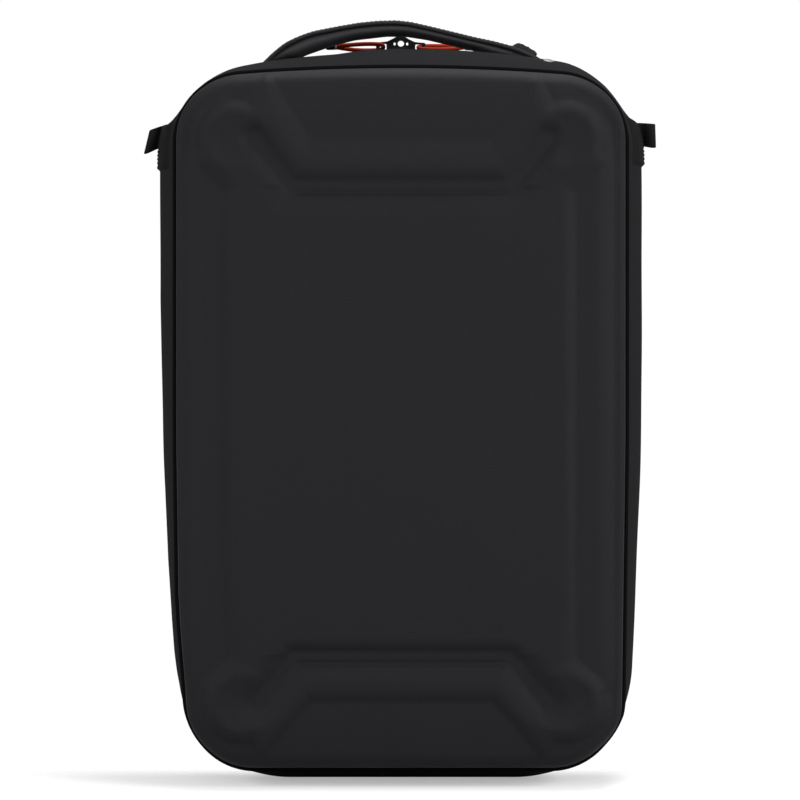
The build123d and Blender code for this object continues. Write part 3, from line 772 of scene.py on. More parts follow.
def relief(x, dz):
    """Height of the shell's front against its middle plateau, in mm: 0 on the plateau, negative where it is sunk."""
    x, dz = x * 1.0173, (dz - 2.0) * 1.0173 + 2.0
    ax, az = np.abs(x), np.abs(dz)
    top = dz > 0
    side = 1 - smooth(120, 165, az)
    D1, D2, DC = 3.3 + 0.2 * side, 3.2 + 0.7 * side, 3.8
    tz0 = np.where(top, 187.8, 192.4)
    slope = np.where(top, (81.3 - 60.5) / (220.3 - 187.8), (90.8 - 62.5) / (223.7 - 192.4))
    x0 = np.where(top, 60.5, 62.5)
    edge = (ax - (x0 + slope * (az - tz0))) / np.sqrt(1 + slope**2)
    trap = np.maximum(edge, tz0 - az)
    bz = np.where(top, 188.5, 193.5)
    rb = np.hypot(ax - 112.5, az - bz)
    body_t = polygon_sdf(ax, az, [(-60, -60), (118.3, -60), (118.3, 152.5), (138.5, 172.0), (139.5, 188), (128, 206), (104, 214), (90, 240), (-60, 240)])
    body_b = polygon_sdf(ax, az, [(-60, -60), (118.3, -60), (118.3, 162.0), (139.0, 182.0), (139.8, 195), (129, 211), (106, 220), (94, 240), (-60, 240)])
    body = np.minimum(np.where(top, body_t, body_b), rb - 27.5)
    raised = np.maximum(body, -trap)
    # the raised middle, bars and corners; outside them the ledges and the sunk panels
    h = bevelled(-raised, D1, np.where(trap < 14, np.where(top, 17.0, 9.0), 11.5 - 3.0 * side))
    # the ledges fall away again to the rim
    upper = polygon_sdf(ax, az, [(-60, -60), (145.0, -60), (145.0, 178), (140, 205), (118, 222), (96, 240), (-60, 240)])
    upper = np.minimum(upper, rb - 31.5)
    fade = 1 - 0.75 * smooth(186, 216, az)
    h = h + bevelled(-upper, D2, 13.0) * fade
    # the channel between the plateau and each bar, running out diagonally into the corner
    ch_top = path_dist(ax, az, [(-80.0, 156.9), (73.5, 156.9), (99.0, 189.5)])
    ch_bot = path_dist(ax, az, [(-80.0, 162.0), (73.5, 162.0), (99.5, 193.5)])
    ch = np.where(top, ch_top, ch_bot)
    plateau_side = az < np.where(top, 156.9, 162.0)
    wall = np.where(plateau_side, np.where(top, 19.0, 9.0), np.where(top, 9.5, 15.0))
    run = smooth(160, 190, az) * smooth(72, 96, ax)
    h = np.minimum(h, bevelled(ch - 3.9 - 1.1 * run, DC + 0.5 * run, wall) + np.where(rb < 24, 0.3, 0))
    # each corner is a soft ring round a dimple
    ring = np.exp(-(((rb - 20.0) / 5.5) ** 2))
    dimple = np.exp(-((np.maximum(rb - 3.0, 0) / 8.5) ** 2))
    far_in = smooth(6, 20, ch)
    h += 1.2 * ring * far_in * smooth(150, 176, az) - 1.1 * dimple * smooth(2, 10, ch)
    # a fine pressed line along each channel's foot
    line = np.abs(az - np.where(top, 152.4, 166.3)) + 0.6 * np.maximum(ax - 70.0, 0)
    h -= 1.3 * np.exp(-((line / 1.2) ** 2))
    # the whole front is a touch domed, and leans back towards its top and bottom edges
    h -= 0.5 * (np.clip(ax / 150, 0, 1) ** 2 + np.clip(az / 235, 0, 1) ** 2)
    h -= 2.6 * np.clip((az - 200) / 36, 0, 1.2) ** 2
    return h


def shell_mesh():
    zt = SHELL["z1"] - SHELL["crown"] + math.sqrt((SHELL["crown"] - SHELL["rt"]) ** 2 - (SHELL["top_w"] / 2 - SHELL["rt"]) ** 2)
    xt_c = SHELL["top_w"] / 2 - SHELL["rt"]
    ang = math.atan2(zt - (SHELL["z1"] - SHELL["crown"]), xt_c)
    x_tan, z_tan = SHELL["crown"] * math.cos(ang), SHELL["z1"] - SHELL["crown"] + SHELL["crown"] * math.sin(ang)
    inset = 2.6
    FP = SP - SN * inset
    z_tan -= inset * math.sin(ang)
    x_tan -= inset * math.cos(ang)
    right = FP[: len(FP) // 2 + 1]
    sel = right[(right[:, 1] <= z_tan + 1e-6)]
    sel = sel[sel[:, 0] > 60]
    z_of, x_of = sel[:, 1], sel[:, 0]
    order = np.argsort(z_of, kind="stable")
    z_of, x_of = z_of[order], x_of[order]
    z0 = SHELL["z0"] + inset
    crown_r = SHELL["crown"] - inset
    edge = lambda R, k: R * (1 - np.cos(np.linspace(0, math.pi / 2, k)))
    dz_edge = edge(14.0, 16)
    step = 1.4
    mid = np.arange(z0 + 14 + step, z_tan - 14 - step / 2, step)
    zs = np.concatenate([z0 + dz_edge, mid, (z_tan - dz_edge)[::-1]])
    us_edge = edge(12.0, 14) / 150.0
    um = np.arange(1 - 12.0 / 150.0 - step / 150.0, -(1 - 12.0 / 150.0), -step / 150.0)
    us = np.concatenate([1 - us_edge, um, (-1 + us_edge)[::-1]])[::-1]
    w = np.interp(zs, z_of, x_of)
    # the exact half width of the bottom flat
    w[0] = sel[:, 0][np.abs(sel[:, 1] - z0) < 1e-6].max() if (np.abs(sel[:, 1] - z0) < 1e-6).any() else w[0]
    X = us[:, None] * w[None, :]
    Z = np.repeat(zs[None, :], len(us), 0)
    lift = np.sqrt(np.maximum(crown_r**2 - np.minimum(np.abs(X), x_tan) ** 2, 0)) - math.sqrt(crown_r**2 - x_tan**2)
    Z = Z + lift * smooth(445, z_tan, Z)
    # distance to the outline
    P2 = np.column_stack([X.ravel(), Z.ravel()])
    A, B = FP, np.roll(FP, -1, 0)
    E = B - A
    EL = (E**2).sum(1)
    d = np.full(len(P2), 1e9)
    near = (np.abs(P2[:, 0]) > 128) | (P2[:, 1] < 34) | (P2[:, 1] > 460)
    idx = np.flatnonzero(near)
    for c in np.array_split(idx, 24):
        W = P2[c][:, None, :] - A[None]
        t = np.clip((W * E[None]).sum(2) / EL[None], 0, 1)
        d[c] = np.sqrt(((W - E[None] * t[..., None]) ** 2).sum(2)).min(1)
    d = d.reshape(X.shape)
    h = relief(X, Z - MID_Z)
    # the front's edge: rounder over the top and bottom than down the sides
    az = np.abs(Z - MID_Z)
    R = 3.6 + 7.4 * smooth(196, 232, az)
    k = np.clip(R - d, 0, R)
    drop = R - np.sqrt(np.maximum(R * R - k * k, 0))
    Y = Y_RAISED - h + drop
    front = np.stack([X, Y, Z], -1)
    # outline of the grid's edge, in order round: bottom row left to right, right column up, top row, left column
    nu, nv = X.shape
    ring = [(i, 0) for i in range(nu)] + [(nu - 1, j) for j in range(1, nv)] + [(i, nv - 1) for i in range(nu - 2, -1, -1)] + [(0, j) for j in range(nv - 2, 0, -1)]
    rp = np.array([front[i, j] for i, j in ring])
    # outward direction at each edge point
    tang = np.roll(rp, -1, 0) - np.roll(rp, 1, 0)
    nn = np.column_stack([tang[:, 2], -tang[:, 0]])
    nn /= np.maximum(np.linalg.norm(nn, axis=1), 1e-9)[:, None]
    verts = [front.reshape(-1, 3)]
    faces = []
    loops_uv = []
    flat_uv = front.reshape(-1, 3)[:, [0, 2]] * 0.001
    ii, jj = np.meshgrid(np.arange(nu - 1), np.arange(nv - 1), indexing="ij")
    F = np.stack([ii * nv + jj, (ii + 1) * nv + jj, (ii + 1) * nv + jj + 1, ii * nv + jj + 1], -1).reshape(-1, 4)
    faces += F.tolist()
    uvs = [flat_uv]
    base = nu * nv
    prev = np.array([i * nv + j for i, j in ring])
    y_start = rp[:, 1]
    m = len(ring)
    rows = []
    for t in np.linspace(0.12, 1.0, 9):
        y = y_start + (Y_RIM + 1.5 - y_start) * t
        outw = inset * t ** 0.8
        rows.append((outw, y))
    rows += [(inset - 0.3, np.full(m, Y_RIM + 2.2)), (inset - 1.8, np.full(m, Y_RIM + 2.4)), (inset - 4.0, np.full(m, Y_RIM + 2.0)), (inset - 4.2, np.full(m, Y_RIM - 2))]
    count = base
    for outw, y in rows:
        p = np.column_stack([rp[:, 0] + nn[:, 0] * outw, y, rp[:, 2] + nn[:, 1] * outw])
        verts.append(p)
        uvs.append((np.column_stack([rp[:, 0], rp[:, 2]]) + nn * (y - y_start)[:, None]) * 0.001)
        cur = np.arange(count, count + m)
        q = np.stack([prev, np.roll(prev, -1), np.roll(cur, -1), cur], -1)
        faces += q[:, ::-1].tolist()
        prev = cur
        count += m
    # the inside of the moulding, parallel to its front
    zc = (z0 + z_tan) / 2
    xi, zi = X * (1 - WALL / 152.5), zc + (Z - zc) * (1 - WALL / 237.5)
    back = np.stack([xi, Y_RAISED - relief(xi, zi - MID_Z) + drop + 2.6, zi], -1)
    verts.append(back.reshape(-1, 3))
    uvs.append(flat_uv)
    faces += (F[:, ::-1] + count).tolist()
    cur = np.array([i * nv + j for i, j in ring]) + count
    faces += np.stack([prev, np.roll(prev, -1), np.roll(cur, -1), cur], -1)[:, ::-1].tolist()
    V = np.vstack(verts)
    U = np.vstack(uvs)
    me = bpy.data.meshes.new("front_shell_moulding")
    me.from_pydata((V * 0.001).tolist(), [], faces)
    layer = me.uv_layers.new(name="wrap")
    li = np.zeros(len(me.loops), np.int32)
    me.loops.foreach_get("vertex_index", li)
    layer.data.foreach_set("uv", U[li].astype(np.float32).ravel())
    o = new_object("front_shell_moulding", me)
    fix_normals(o)
    shade_smooth(o.data)
    # the lining laid inside it
    sx, sz = 1 - (WALL + 0.5) / 152.5, 1 - (WALL + 0.5) / 237.5
    xi, zi = X * sx, zc + (Z - zc) * sz
    a = np.stack([xi, Y_RAISED - relief(xi, zi - MID_Z) + drop + 3.3, zi], -1)
    a = a[np.unique(np.append(np.arange(0, nu, 3), nu - 1))][:, np.unique(np.append(np.arange(0, nv, 3), nv - 1))]
    b = a + np.array([0, 1.2, 0])
    n0, n1 = a.shape[:2]
    lower = [(i, 0) for i in range(n0)] + [(n0 - 1, j) for j in range(1, n1)] + [(i, n1 - 1) for i in range(n0 - 2, -1, -1)] + [(0, j) for j in range(n1 - 2, 0, -1)]
    ii, jj = np.meshgrid(np.arange(n0 - 1), np.arange(n1 - 1), indexing="ij")
    G = np.stack([ii * n1 + jj, (ii + 1) * n1 + jj, (ii + 1) * n1 + jj + 1, ii * n1 + jj + 1], -1).reshape(-1, 4)
    e = np.array([i * n1 + j for i, j in lower])
    side = np.stack([e, np.roll(e, -1), np.roll(e, -1) + n0 * n1, e + n0 * n1], -1)
    me = bpy.data.meshes.new("shell_lining_cloth")
    me.from_pydata((np.vstack([a.reshape(-1, 3), b.reshape(-1, 3)]) * 0.001).tolist(), [], G.tolist() + (G[:, ::-1] + n0 * n1).tolist() + side.tolist())
    lining = fix_normals(new_object("shell_lining_cloth", me))
    autosmooth(lining, 40)
    grid = np.column_stack([X.ravel(), Z.ravel()]), Y.ravel()
    return o, lining, grid


WALL = 4.0
shell, lining, (shell_xz, shell_y) = shell_mesh()
dress(shell, "shell", "tub")
dress(lining, "lining", "tub")
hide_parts("shell_lining")
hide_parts("front_shell")

# piping round the shell: a corded edge laid into the seam
def tube_round(name, P2, N2, y, r, out, k=12, squash=1.0):
    rows = []
    for i in range(k):
        a = 2 * math.pi * i / k
        rows.append((P2 + N2 * (out + r * math.cos(a)), y + r * squash * math.sin(a)))
    return ring_strip(name, rows)


pipe = tube_round("shell_piping_cord", SP, SN, Y_PIPE - 1.2, 1.8, 0.95)
fix_normals(pipe); shade_smooth(pipe.data)
dress(pipe, "piping", "tub")
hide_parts("shell_piping")

# ------------------------------------------------------------------ gussets
BP, BN, BS = outline(**BODY)
SP2, SN2, _ = outline(**SHELL, grow=1.6)


def ripple(P, y, amount, seed=0.0):
    """Slow unevenness of stretched fabric."""
    s = np.arctan2(P[:, 1] - 250, P[:, 0])
    x, z = P[:, 0], P[:, 1]
    k = np.sin(z / 37 + y / 21 + seed) * np.sin(x / 41 - y / 17 + 2 * seed) + 0.6 * np.sin(z / 15.5 - y / 11 + 1.7 * seed) * np.cos(x / 19 + seed)
    return k * amount


def gusset_rows(ys, off):
    rows = []
    for y, o_ in zip(ys, off):
        rows.append((y, o_))
    return rows


rows = []
ys = np.concatenate([np.linspace(-61.2, -34, 22), np.linspace(-33, -7.0, 15)])
for y in ys:
    t = np.clip((y + 61) / 27, 0, 1)
    f = math.sin(math.pi * t / 2)
    P = SP2 + (BP - SP2) * f
    N = BN
    # the fabric fills out between the seams
    puff = 0.9 * math.sin(math.pi * np.clip((y + 61) / 54, 0, 1))
    flat = smooth(6, 26, P[:, 1])  # it stays flat where it stands
    off = puff * flat + ripple(P, y, 0.22, 0.4) * smooth(-60, -50, y) * (1 - smooth(-12, -7, y)) * flat
    rows.append((P + N * np.asarray(off)[:, None], y))
inner_rows = [(SP2 + (BP - SP2) * math.sin(math.pi * np.clip((y + 61) / 27, 0, 1) / 2) - BN * 3.6, y) for y in ys[::-3]]
tub_gusset = ring_strip("tub_gusset_cloth", rows + inner_rows)
fix_normals(tub_gusset); shade_smooth(tub_gusset.data)
dress(tub_gusset, "gusset", "tub")
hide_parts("tub_gusset")

rows = []
ys = np.linspace(Y_LID - 0.4, Y_BOARD + 0.2, 26)
for y in ys:
    t = (y - ys[0]) / (ys[-1] - ys[0])
    flat = smooth(6, 26, BP[:, 1])
    off = 1.4 * math.sin(math.pi * t) ** 0.7 * flat + ripple(BP, y, 0.28, 2.1) * math.sin(math.pi * t) * flat
    rows.append((BP + BN * np.asarray(off)[:, None], y))
inner_rows = [(BP - BN * 3.6, y) for y in ys[::-3]]
lid_gusset = ring_strip("lid_gusset_cloth", rows + inner_rows)
fix_normals(lid_gusset); shade_smooth(lid_gusset.data)
dress(lid_gusset, "gusset", "lid")
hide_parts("lid_gusset")

# zip tapes
def band(name, y0, y1, o_out, o_in, body, mat, node, above=True, n=6, bulge=0.0):
    ys = np.linspace(y0, y1, n)
    rows = [(BP + BN * (o_out + bulge * math.sin(math.pi * (y - y0) / (y1 - y0))), y) for y in ys]
    rows += [(BP + BN * o_in, y) for y in ys[::-1]]
    o = ring_strip(name, rows, z_above=ZIP_END_Z if above else None, z_below=None if above else ZIP_END_Z - 2.5)
    fix_normals(o)
    autosmooth(o, 50)
    dress(o, mat, body)
    if node:
        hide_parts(node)
    return o


band("tub_zip_tape_cloth", Y_TUB - 2.5, Y_ZIP - 2.6, -0.7, -1.9, "tub", "tape", "tub_zip_tape")
band("lid_zip_tape_cloth", Y_ZIP + 2.6, Y_LID + 2.5, -0.7, -1.9, "lid", "tape", "lid_zip_tape")

# zip coils: a row of rounded teeth on each side of the middle, interleaved
def coil(name, y0, y1, body, node, phase):
    P, N, S = outline(**BODY, fine=6.5)
    pitch = 1.7
    keepz = P[:, 1] > ZIP_END_Z
    order = np.flatnonzero(keepz)
    P, N, s = P[order], N[order], S[:-1][order]
    # even samples, four a tooth
    total = s[-1] - s[0]
    n = int(total / pitch) * 4
    at = s[0] + np.linspace(0, total, n)
    P = np.column_stack([np.interp(at, s, P[:, i]) for i in range(2)])
    N = np.column_stack([np.interp(at, s, N[:, i]) for i in range(2)])
    tooth = np.cos(2 * math.pi * at / pitch + phase)
    mid, half = (y0 + y1) / 2, (y1 - y0) / 2
    rows = []
    k = 10
    for i in range(k):
        a = 2 * math.pi * i / k
        r_out = 1.0 + 0.34 * tooth
        reach = half * (1.0 + 0.22 * tooth * (1 if (math.cos(a) > 0) == (y0 < Y_ZIP - 1) else 0))
        rows.append((P + N * (-0.65 + r_out * math.sin(a))[:, None], mid + reach * math.cos(a)))
    arr = np.stack([np.column_stack([p[:, 0], y, p[:, 1]]) for p, y in rows], axis=1)
    o = grid_mesh(name, arr, wrap_u=False, wrap_v=True, caps=())
    bm = bmesh.new(); bm.from_mesh(o.data)
    bmesh.ops.holes_fill(bm, edges=[e for e in bm.edges if e.is_boundary], sides=0)
    bm.to_mesh(o.data); bm.free()
    fix_normals(o)
    shade_smooth(o.data)
    dress(o, "coil", body)
    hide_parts(node)
    return o


coil("tub_zip_coil_teeth", Y_ZIP - 2.7, Y_ZIP - 0.15, "tub", "tub_zip_coil", 0.0)
coil("lid_zip_coil_teeth", Y_ZIP + 0.15, Y_ZIP + 2.7, "lid", "lid_zip_coil", math.pi)

# under the zip's ends the gusset carries on, half on each side, and a cloth joins them along the bottom
for y0, y1, body, node in ((Y_TUB - 2.0, Y_ZIP - 0.12, "tub", "hinge_panel_tub"), (Y_ZIP + 0.12, Y_LID + 2.0, "lid", "hinge_panel_lid")):
    ys = np.linspace(y0, y1, 14)
    roll_in = lambda y: 0.9 * math.exp(-abs(y - Y_ZIP) / 1.0)
    rows = [(BP - BN * (0.3 + roll_in(y)), y) for y in ys]
    rows += [(BP - BN * 2.2, y) for y in ys[::-1]]
    o = ring_strip(node + "_cloth", rows, z_below=ZIP_END_Z + 4.5)
    fix_normals(o); autosmooth(o, 50)
    dress(o, "gusset", body)
    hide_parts(node)
flat = np.abs(BP[:, 0]) < 74
P3 = BP.copy(); P3[:, 0] = np.clip(P3[:, 0], -74, 74)
xs3 = np.linspace(-73, 73, 60)
ys = np.linspace(Y_ZIP - 6.5, Y_ZIP + 6.5, 27)
sec = [(y, 0.2) for y in ys] + [(y, 1.0) for y in ys[::-1]]
arr = np.zeros((len(xs3), len(sec), 3))
for j, (y, z) in enumerate(sec):
    arr[:, j] = np.column_stack([xs3, np.full(len(xs3), y), np.full(len(xs3), z)])
cloth_uv = np.stack(np.meshgrid(xs3 * 0.001, np.array([y for y, _ in sec] + [sec[0][0]]) * 0.001, indexing="ij"), -1)
hinge = grid_mesh("hinge_cover_cloth", arr, wrap_v=True, uv=cloth_uv)
bm = bmesh.new(); bm.from_mesh(hinge.data)
bmesh.ops.holes_fill(bm, edges=[e for e in bm.edges if e.is_boundary], sides=0)
bm.to_mesh(hinge.data); bm.free()
fix_normals(hinge); autosmooth(hinge, 50)
dress(hinge, "gusset")
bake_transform(hinge)

# stitch rows round the gussets
def seam(name, P, N, y, body, out=0.0, z_min=None, pitch=3.6, **kw):
    pts = np.column_stack([P[:, 0], np.full(len(P), 1.0) * y, P[:, 1]])
    nor = np.column_stack([N[:, 0], np.zeros(len(P)), N[:, 1]])
    pts = np.vstack([pts, pts[:1]]); nor = np.vstack([nor, nor[:1]])
    if z_min is not None:
        keepz = np.flatnonzero(pts[:-1, 2] > z_min)
        pts, nor = pts[keepz], nor[keepz]
    pts = pts + nor * out
    o = stitches(name, pts, nor, pitch=pitch, **kw)
    dress(o, "thread", body)
    return o


seam("seam_tub_zip", BP, BN, Y_TUB - 1.4, "tub", out=0.05, z_min=8)
seam("seam_lid_zip", BP, BN, Y_LID + 1.6, "lid", out=0.15, z_min=8)
seam("seam_lid_back", BP, BN, Y_BOARD - 3.0, "lid", out=0.25, z_min=8)

# ------------------------------------------------------------------ side patches and loops
for s, side in ((-1, "left"), (1, "right")):
    # a folded patch of webbing stitched over the gusset, from the crest to the zip
    z_a, z_b = (418.5, 451.0) if s < 0 else (421.5, 455.5)
    zs = np.linspace(z_a, z_b, 18)
    ysp = np.linspace(-55.0, -9.0, 20)
    cz_b = BODY["z1"] - BODY["crown"] + math.sqrt((BODY["crown"] - 68) ** 2 - (BODY["top_w"] / 2 - 68) ** 2)
    cz_s = SHELL["z1"] - SHELL["crown"] + math.sqrt((SHELL["crown"] - 47) ** 2 - (SHELL["top_w"] / 2 - 47) ** 2)

    def half_w(z, y):
        xb = 97.5 + math.sqrt(max(68**2 - max(z - cz_b, 0) ** 2, 0))
        r = 48.6
        xs = 154.1 - r + math.sqrt(max(r**2 - max(z - cz_s, 0) ** 2, 0))
        f = math.sin(math.pi * np.clip((y + 61) / 27, 0, 1) / 2)
        return xs + (xb - xs) * f + 0.9 * math.sin(math.pi * np.clip((y + 61) / 54, 0, 1))

    outer = np.zeros((len(zs), len(ysp), 3))
    inner = np.zeros_like(outer)
    for i, z in enumerate(zs):
        for j, y in enumerate(ysp):
            x = half_w(z, y)
            e = min(i, len(zs) - 1 - i, j, len(ysp) - 1 - j)
            t = (0.35, 1.25, 1.6)[min(e, 2)]
            # the patch stands a little proud at its folded ends
            lump = 1.1 * math.exp(-(((z - z_a - 1.4) / 1.8) ** 2)) + 0.9 * math.exp(-(((z - z_b + 2.6) / 2.6) ** 2))
            outer[i, j] = (s * (x + t + lump * (e > 0)), y, z)
            inner[i, j] = (s * (x - 1.0), y, z)
    ni, nj = outer.shape[:2]
    ring = [(i, 0) for i in range(ni)] + [(ni - 1, j) for j in range(1, nj)] + [(i, nj - 1) for i in range(ni - 2, -1, -1)] + [(0, j) for j in range(nj - 2, 0, -1)]
    V = np.vstack([outer.reshape(-1, 3), inner.reshape(-1, 3)])
    I = lambda i, j, k: k * ni * nj + i * nj + j
    F = [(I(i, j, k), I(i + 1, j, k), I(i + 1, j + 1, k), I(i, j + 1, k)) for k in (0, 1) for i in range(ni - 1) for j in range(nj - 1)]
    for (a, b), (c, d) in zip(ring, ring[1:] + ring[:1]):
        F.append((I(a, b, 0), I(c, d, 0), I(c, d, 1), I(a, b, 1)))
    me = bpy.data.meshes.new(f"side_patch_{side}_cloth")
    me.from_pydata((V * 0.001).tolist(), [], F)
    layer = me.uv_layers.new(name="wrap")
    li = np.zeros(len(me.loops), np.int32); me.loops.foreach_get("vertex_index", li)
    layer.data.foreach_set("uv", (V[li][:, [2, 1]] * 0.001).astype(np.float32).ravel())
    o = fix_normals(new_object(f"side_patch_{side}_cloth", me))
    autosmooth(o, 50)
    dress(o, "loopweb", "tub")
    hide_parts(f"side_patch_{side}")
    # the box of stitching
    for tag, pts in (("a", [(half_w(z, -38), -38, z) for z in np.linspace(z_a + 4, z_b - 5, 12)]), ("b", [(half_w(z, -13), -13, z) for z in np.linspace(z_a + 4, z_b - 5, 12)])):
        pp = np.array(pts); pp[:, 0] = (pp[:, 0] + 1.7) * s
        st = stitches(f"patch_stitch_{side}_{tag}", pp, np.tile([s, 0, 0.0], (len(pp), 1)), pitch=2.6, length=2.0)
        dress(st, "thread", "tub")
    # the loop: a band of webbing round an upright hole
    droop = math.radians(14.0 if s < 0 else 2.0)
    ctrl = [(-2.6, 0.85), (0.5, 0.85), (3.0, 1.1), (5.0, 2.4), (7.2, 3.55), (10.0, 3.95), (12.4, 3.4), (13.8, 1.9), (14.1, 0.0), (13.8, -1.9), (12.4, -3.4), (10.0, -3.95), (7.2, -3.55), (5.0, -2.4), (3.0, -1.1), (0.5, -0.85), (-2.6, -0.85)]
    c = np.array(ctrl, float)
    tt = np.linspace(0, len(c) - 1, 81)
    cx, cy = np.interp(tt, np.arange(len(c)), c[:, 0]), np.interp(tt, np.arange(len(c)), c[:, 1])
    for _ in range(3):
        cx[1:-1] = (cx[:-2] + 2 * cx[1:-1] + cx[2:]) / 4
        cy[1:-1] = (cy[:-2] + 2 * cy[1:-1] + cy[2:]) / 4
    tx, ty = np.gradient(cx), np.gradient(cy)
    L = np.hypot(tx, ty); nx, ny = ty / L, -tx / L
    section = [(-0.7, -7.7), (-0.35, -8.0), (0.35, -8.0), (0.7, -7.7), (0.7, 0.0), (0.7, 7.7), (0.35, 8.0), (-0.35, 8.0), (-0.7, 7.7), (-0.7, 0.0)]
    arr = np.zeros((len(cx), len(section), 3))
    for j, (t, h) in enumerate(section):
        x = cx + nx * t
        y = cy + ny * t
        z = h + 0.25 * np.sin(cx / 3.1 + (1.3 if h > 0 else 0.2))
        reach, z_loop = 0.76, (443.2 if s < 0 else 444.6)
        arr[:, j] = np.column_stack([s * (165.8 + reach * x * math.cos(droop) - h * math.sin(droop)), -26.0 + y * (1 if s > 0 else -1) * 1.0, z_loop + z - x * math.sin(droop)])
    al = np.concatenate([[0], np.cumsum(np.hypot(np.diff(cx), np.diff(cy)))])
    hv = np.array([h for _, h in section] + [section[0][1]])
    uv = np.stack(np.meshgrid(al * 0.001, hv * 0.001, indexing="ij"), -1)
    o = grid_mesh(f"side_loop_{side}_webbing", arr, wrap_v=True, uv=uv)
    bm = bmesh.new(); bm.from_mesh(o.data)
    bmesh.ops.holes_fill(bm, edges=[e for e in bm.edges if e.is_boundary], sides=0)
    bm.to_mesh(o.data); bm.free()
    fix_normals(o); autosmooth(o, 60)
    dress(o, "loopweb", f"loop_{side}")
    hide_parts(f"side_loop_{side}")

# ------------------------------------------------------------------ handle
Y_HAN = -20.5


def crest(x, up=0.0):
    return 502.0 - 700.0 + math.sqrt((700.0 + up) ** 2 - x * x)


TOP = [(-96, crest(-96) + 1.0), (-92.5, 499.6), (-90, 502.0), (-85, 505.2), (-80.5, 507.7), (-73.6, 511.2), (-66.6, 514.0), (-60, 516.1), (-55, 517.1), (-42, 519.6), (-29, 521.8), (-16, 523.1), (-3, 523.4), (7, 522.3), (19, 519.6), (34, 516.0), (49, 512.3), (54, 511.2), (64.6, 509.0), (78, 505.4), (88, 501.4), (97, crest(97) + 1.6)]
LOW = [(-96, crest(-96) + 0.1), (-88, crest(-88) - 0.2), (-80, crest(-80) - 0.2), (-73, crest(-73) + 0.0), (-68, 500.6), (-60, 503.5), (-55, 505.2), (-46, 508.2), (-33, 511.5), (-10, 514.2), (4, 514.1), (19, 511.8), (33, 508.5), (43, 506.2), (54, 503.6), (60, 501.2), (66, crest(66) + 0.3), (72, crest(72) - 0.2), (82, crest(82) - 0.2), (97, crest(97) + 0.1)]


def curve_at(pts, x):
    p = np.array(pts)
    y = np.interp(x, p[:, 0], p[:, 1])
    return y


xs = np.linspace(-96, 96, 193)
z_top, z_low = curve_at(TOP, xs), curve_at(LOW, xs)
for _ in range(4):
    z_top[1:-1] = (z_top[:-2] + 2 * z_top[1:-1] + z_top[2:]) / 4
    z_low[1:-1] = (z_low[:-2] + 2 * z_low[1:-1] + z_low[2:]) / 4


def swept(name, x, zc, ht, hw, power=3.0, k=28, tilt=None):
    """A strap-like body along X with a rounded section of half height ht and half width hw."""
    dz = np.gradient(zc, x)
    L = np.hypot(1, dz)
    nx, nz = -dz / L, 1 / L
    arr = np.zeros((len(x), k, 3))
    vv = []
    for j in range(k):
        a = 2 * math.pi * j / k
        c, si = math.cos(a), math.sin(a)
        yy = hw * np.sign(c) * abs(c) ** (2 / power)
        hh = ht * np.sign(si) * abs(si) ** (2 / power)
        arr[:, j] = np.column_stack([x + nx * hh, Y_HAN + yy, zc + nz * hh])
    al = np.concatenate([[0], np.cumsum(np.hypot(np.diff(x), np.diff(zc)))])
    v = np.linspace(0, 1, k + 1) * float(np.mean(hw)) * 4
    uv = np.stack(np.meshgrid(al * 0.001, v * 0.001, indexing="ij"), -1)
    o = grid_mesh(name, arr, wrap_v=True, uv=uv)
    bm = bmesh.new(); bm.from_mesh(o.data)
    bmesh.ops.holes_fill(bm, edges=[e for e in bm.edges if e.is_boundary], sides=0)
    bm.to_mesh(o.data); bm.free()
    fix_normals(o); autosmooth(o, 70)
    return o


thick = np.minimum(3.0, np.maximum(z_top - z_low, 1.2))
web_c = z_top - thick / 2
for tag, sel, a, b in (("left", xs <= 0.01, -0.078, -0.052), ("right", xs >= -0.01, 0.080, 0.046)):
    x = xs[sel]
    web = swept(f"handle_webbing_{tag}_half", x, web_c[sel], thick[sel] / 2, np.full(sel.sum(), 12.5), power=5.0)
    dress(web, "webbing")
    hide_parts("handle_webbing", f"handle_end_{tag}")
    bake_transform(web)
    # the padded roll under it, drawn in at its ends
    rs = sel & (xs > -91.5) & (xs < 90)
    x = xs[rs]
    top_r = z_top[rs] - 2.2
    low_r = z_low[rs]
    ht = np.maximum((top_r - low_r) / 2, 0.8)
    fade = smooth(-90, -62, x) * (1 - smooth(60, 88, x))
    hw = 9.8 + 1.9 * fade
    roll = swept(f"handle_roll_{tag}_half", x, (top_r + low_r) / 2, ht, hw, power=2.3)
    dress(roll, "roll")
    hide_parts("handle_roll")
    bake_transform(roll)
    for yy in (-9.8, 9.8):
        pts = np.column_stack([xs[sel], np.full(sel.sum(), Y_HAN + yy), z_top[sel]])
        st = stitches(f"handle_seam_{tag}_{'a' if yy < 0 else 'b'}", pts, np.tile([0, 0, 1.0], (len(pts), 1)), pitch=3.2, length=2.4, radius=0.28, lift=0.0)
        dress(st, "thread")
        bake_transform(st)

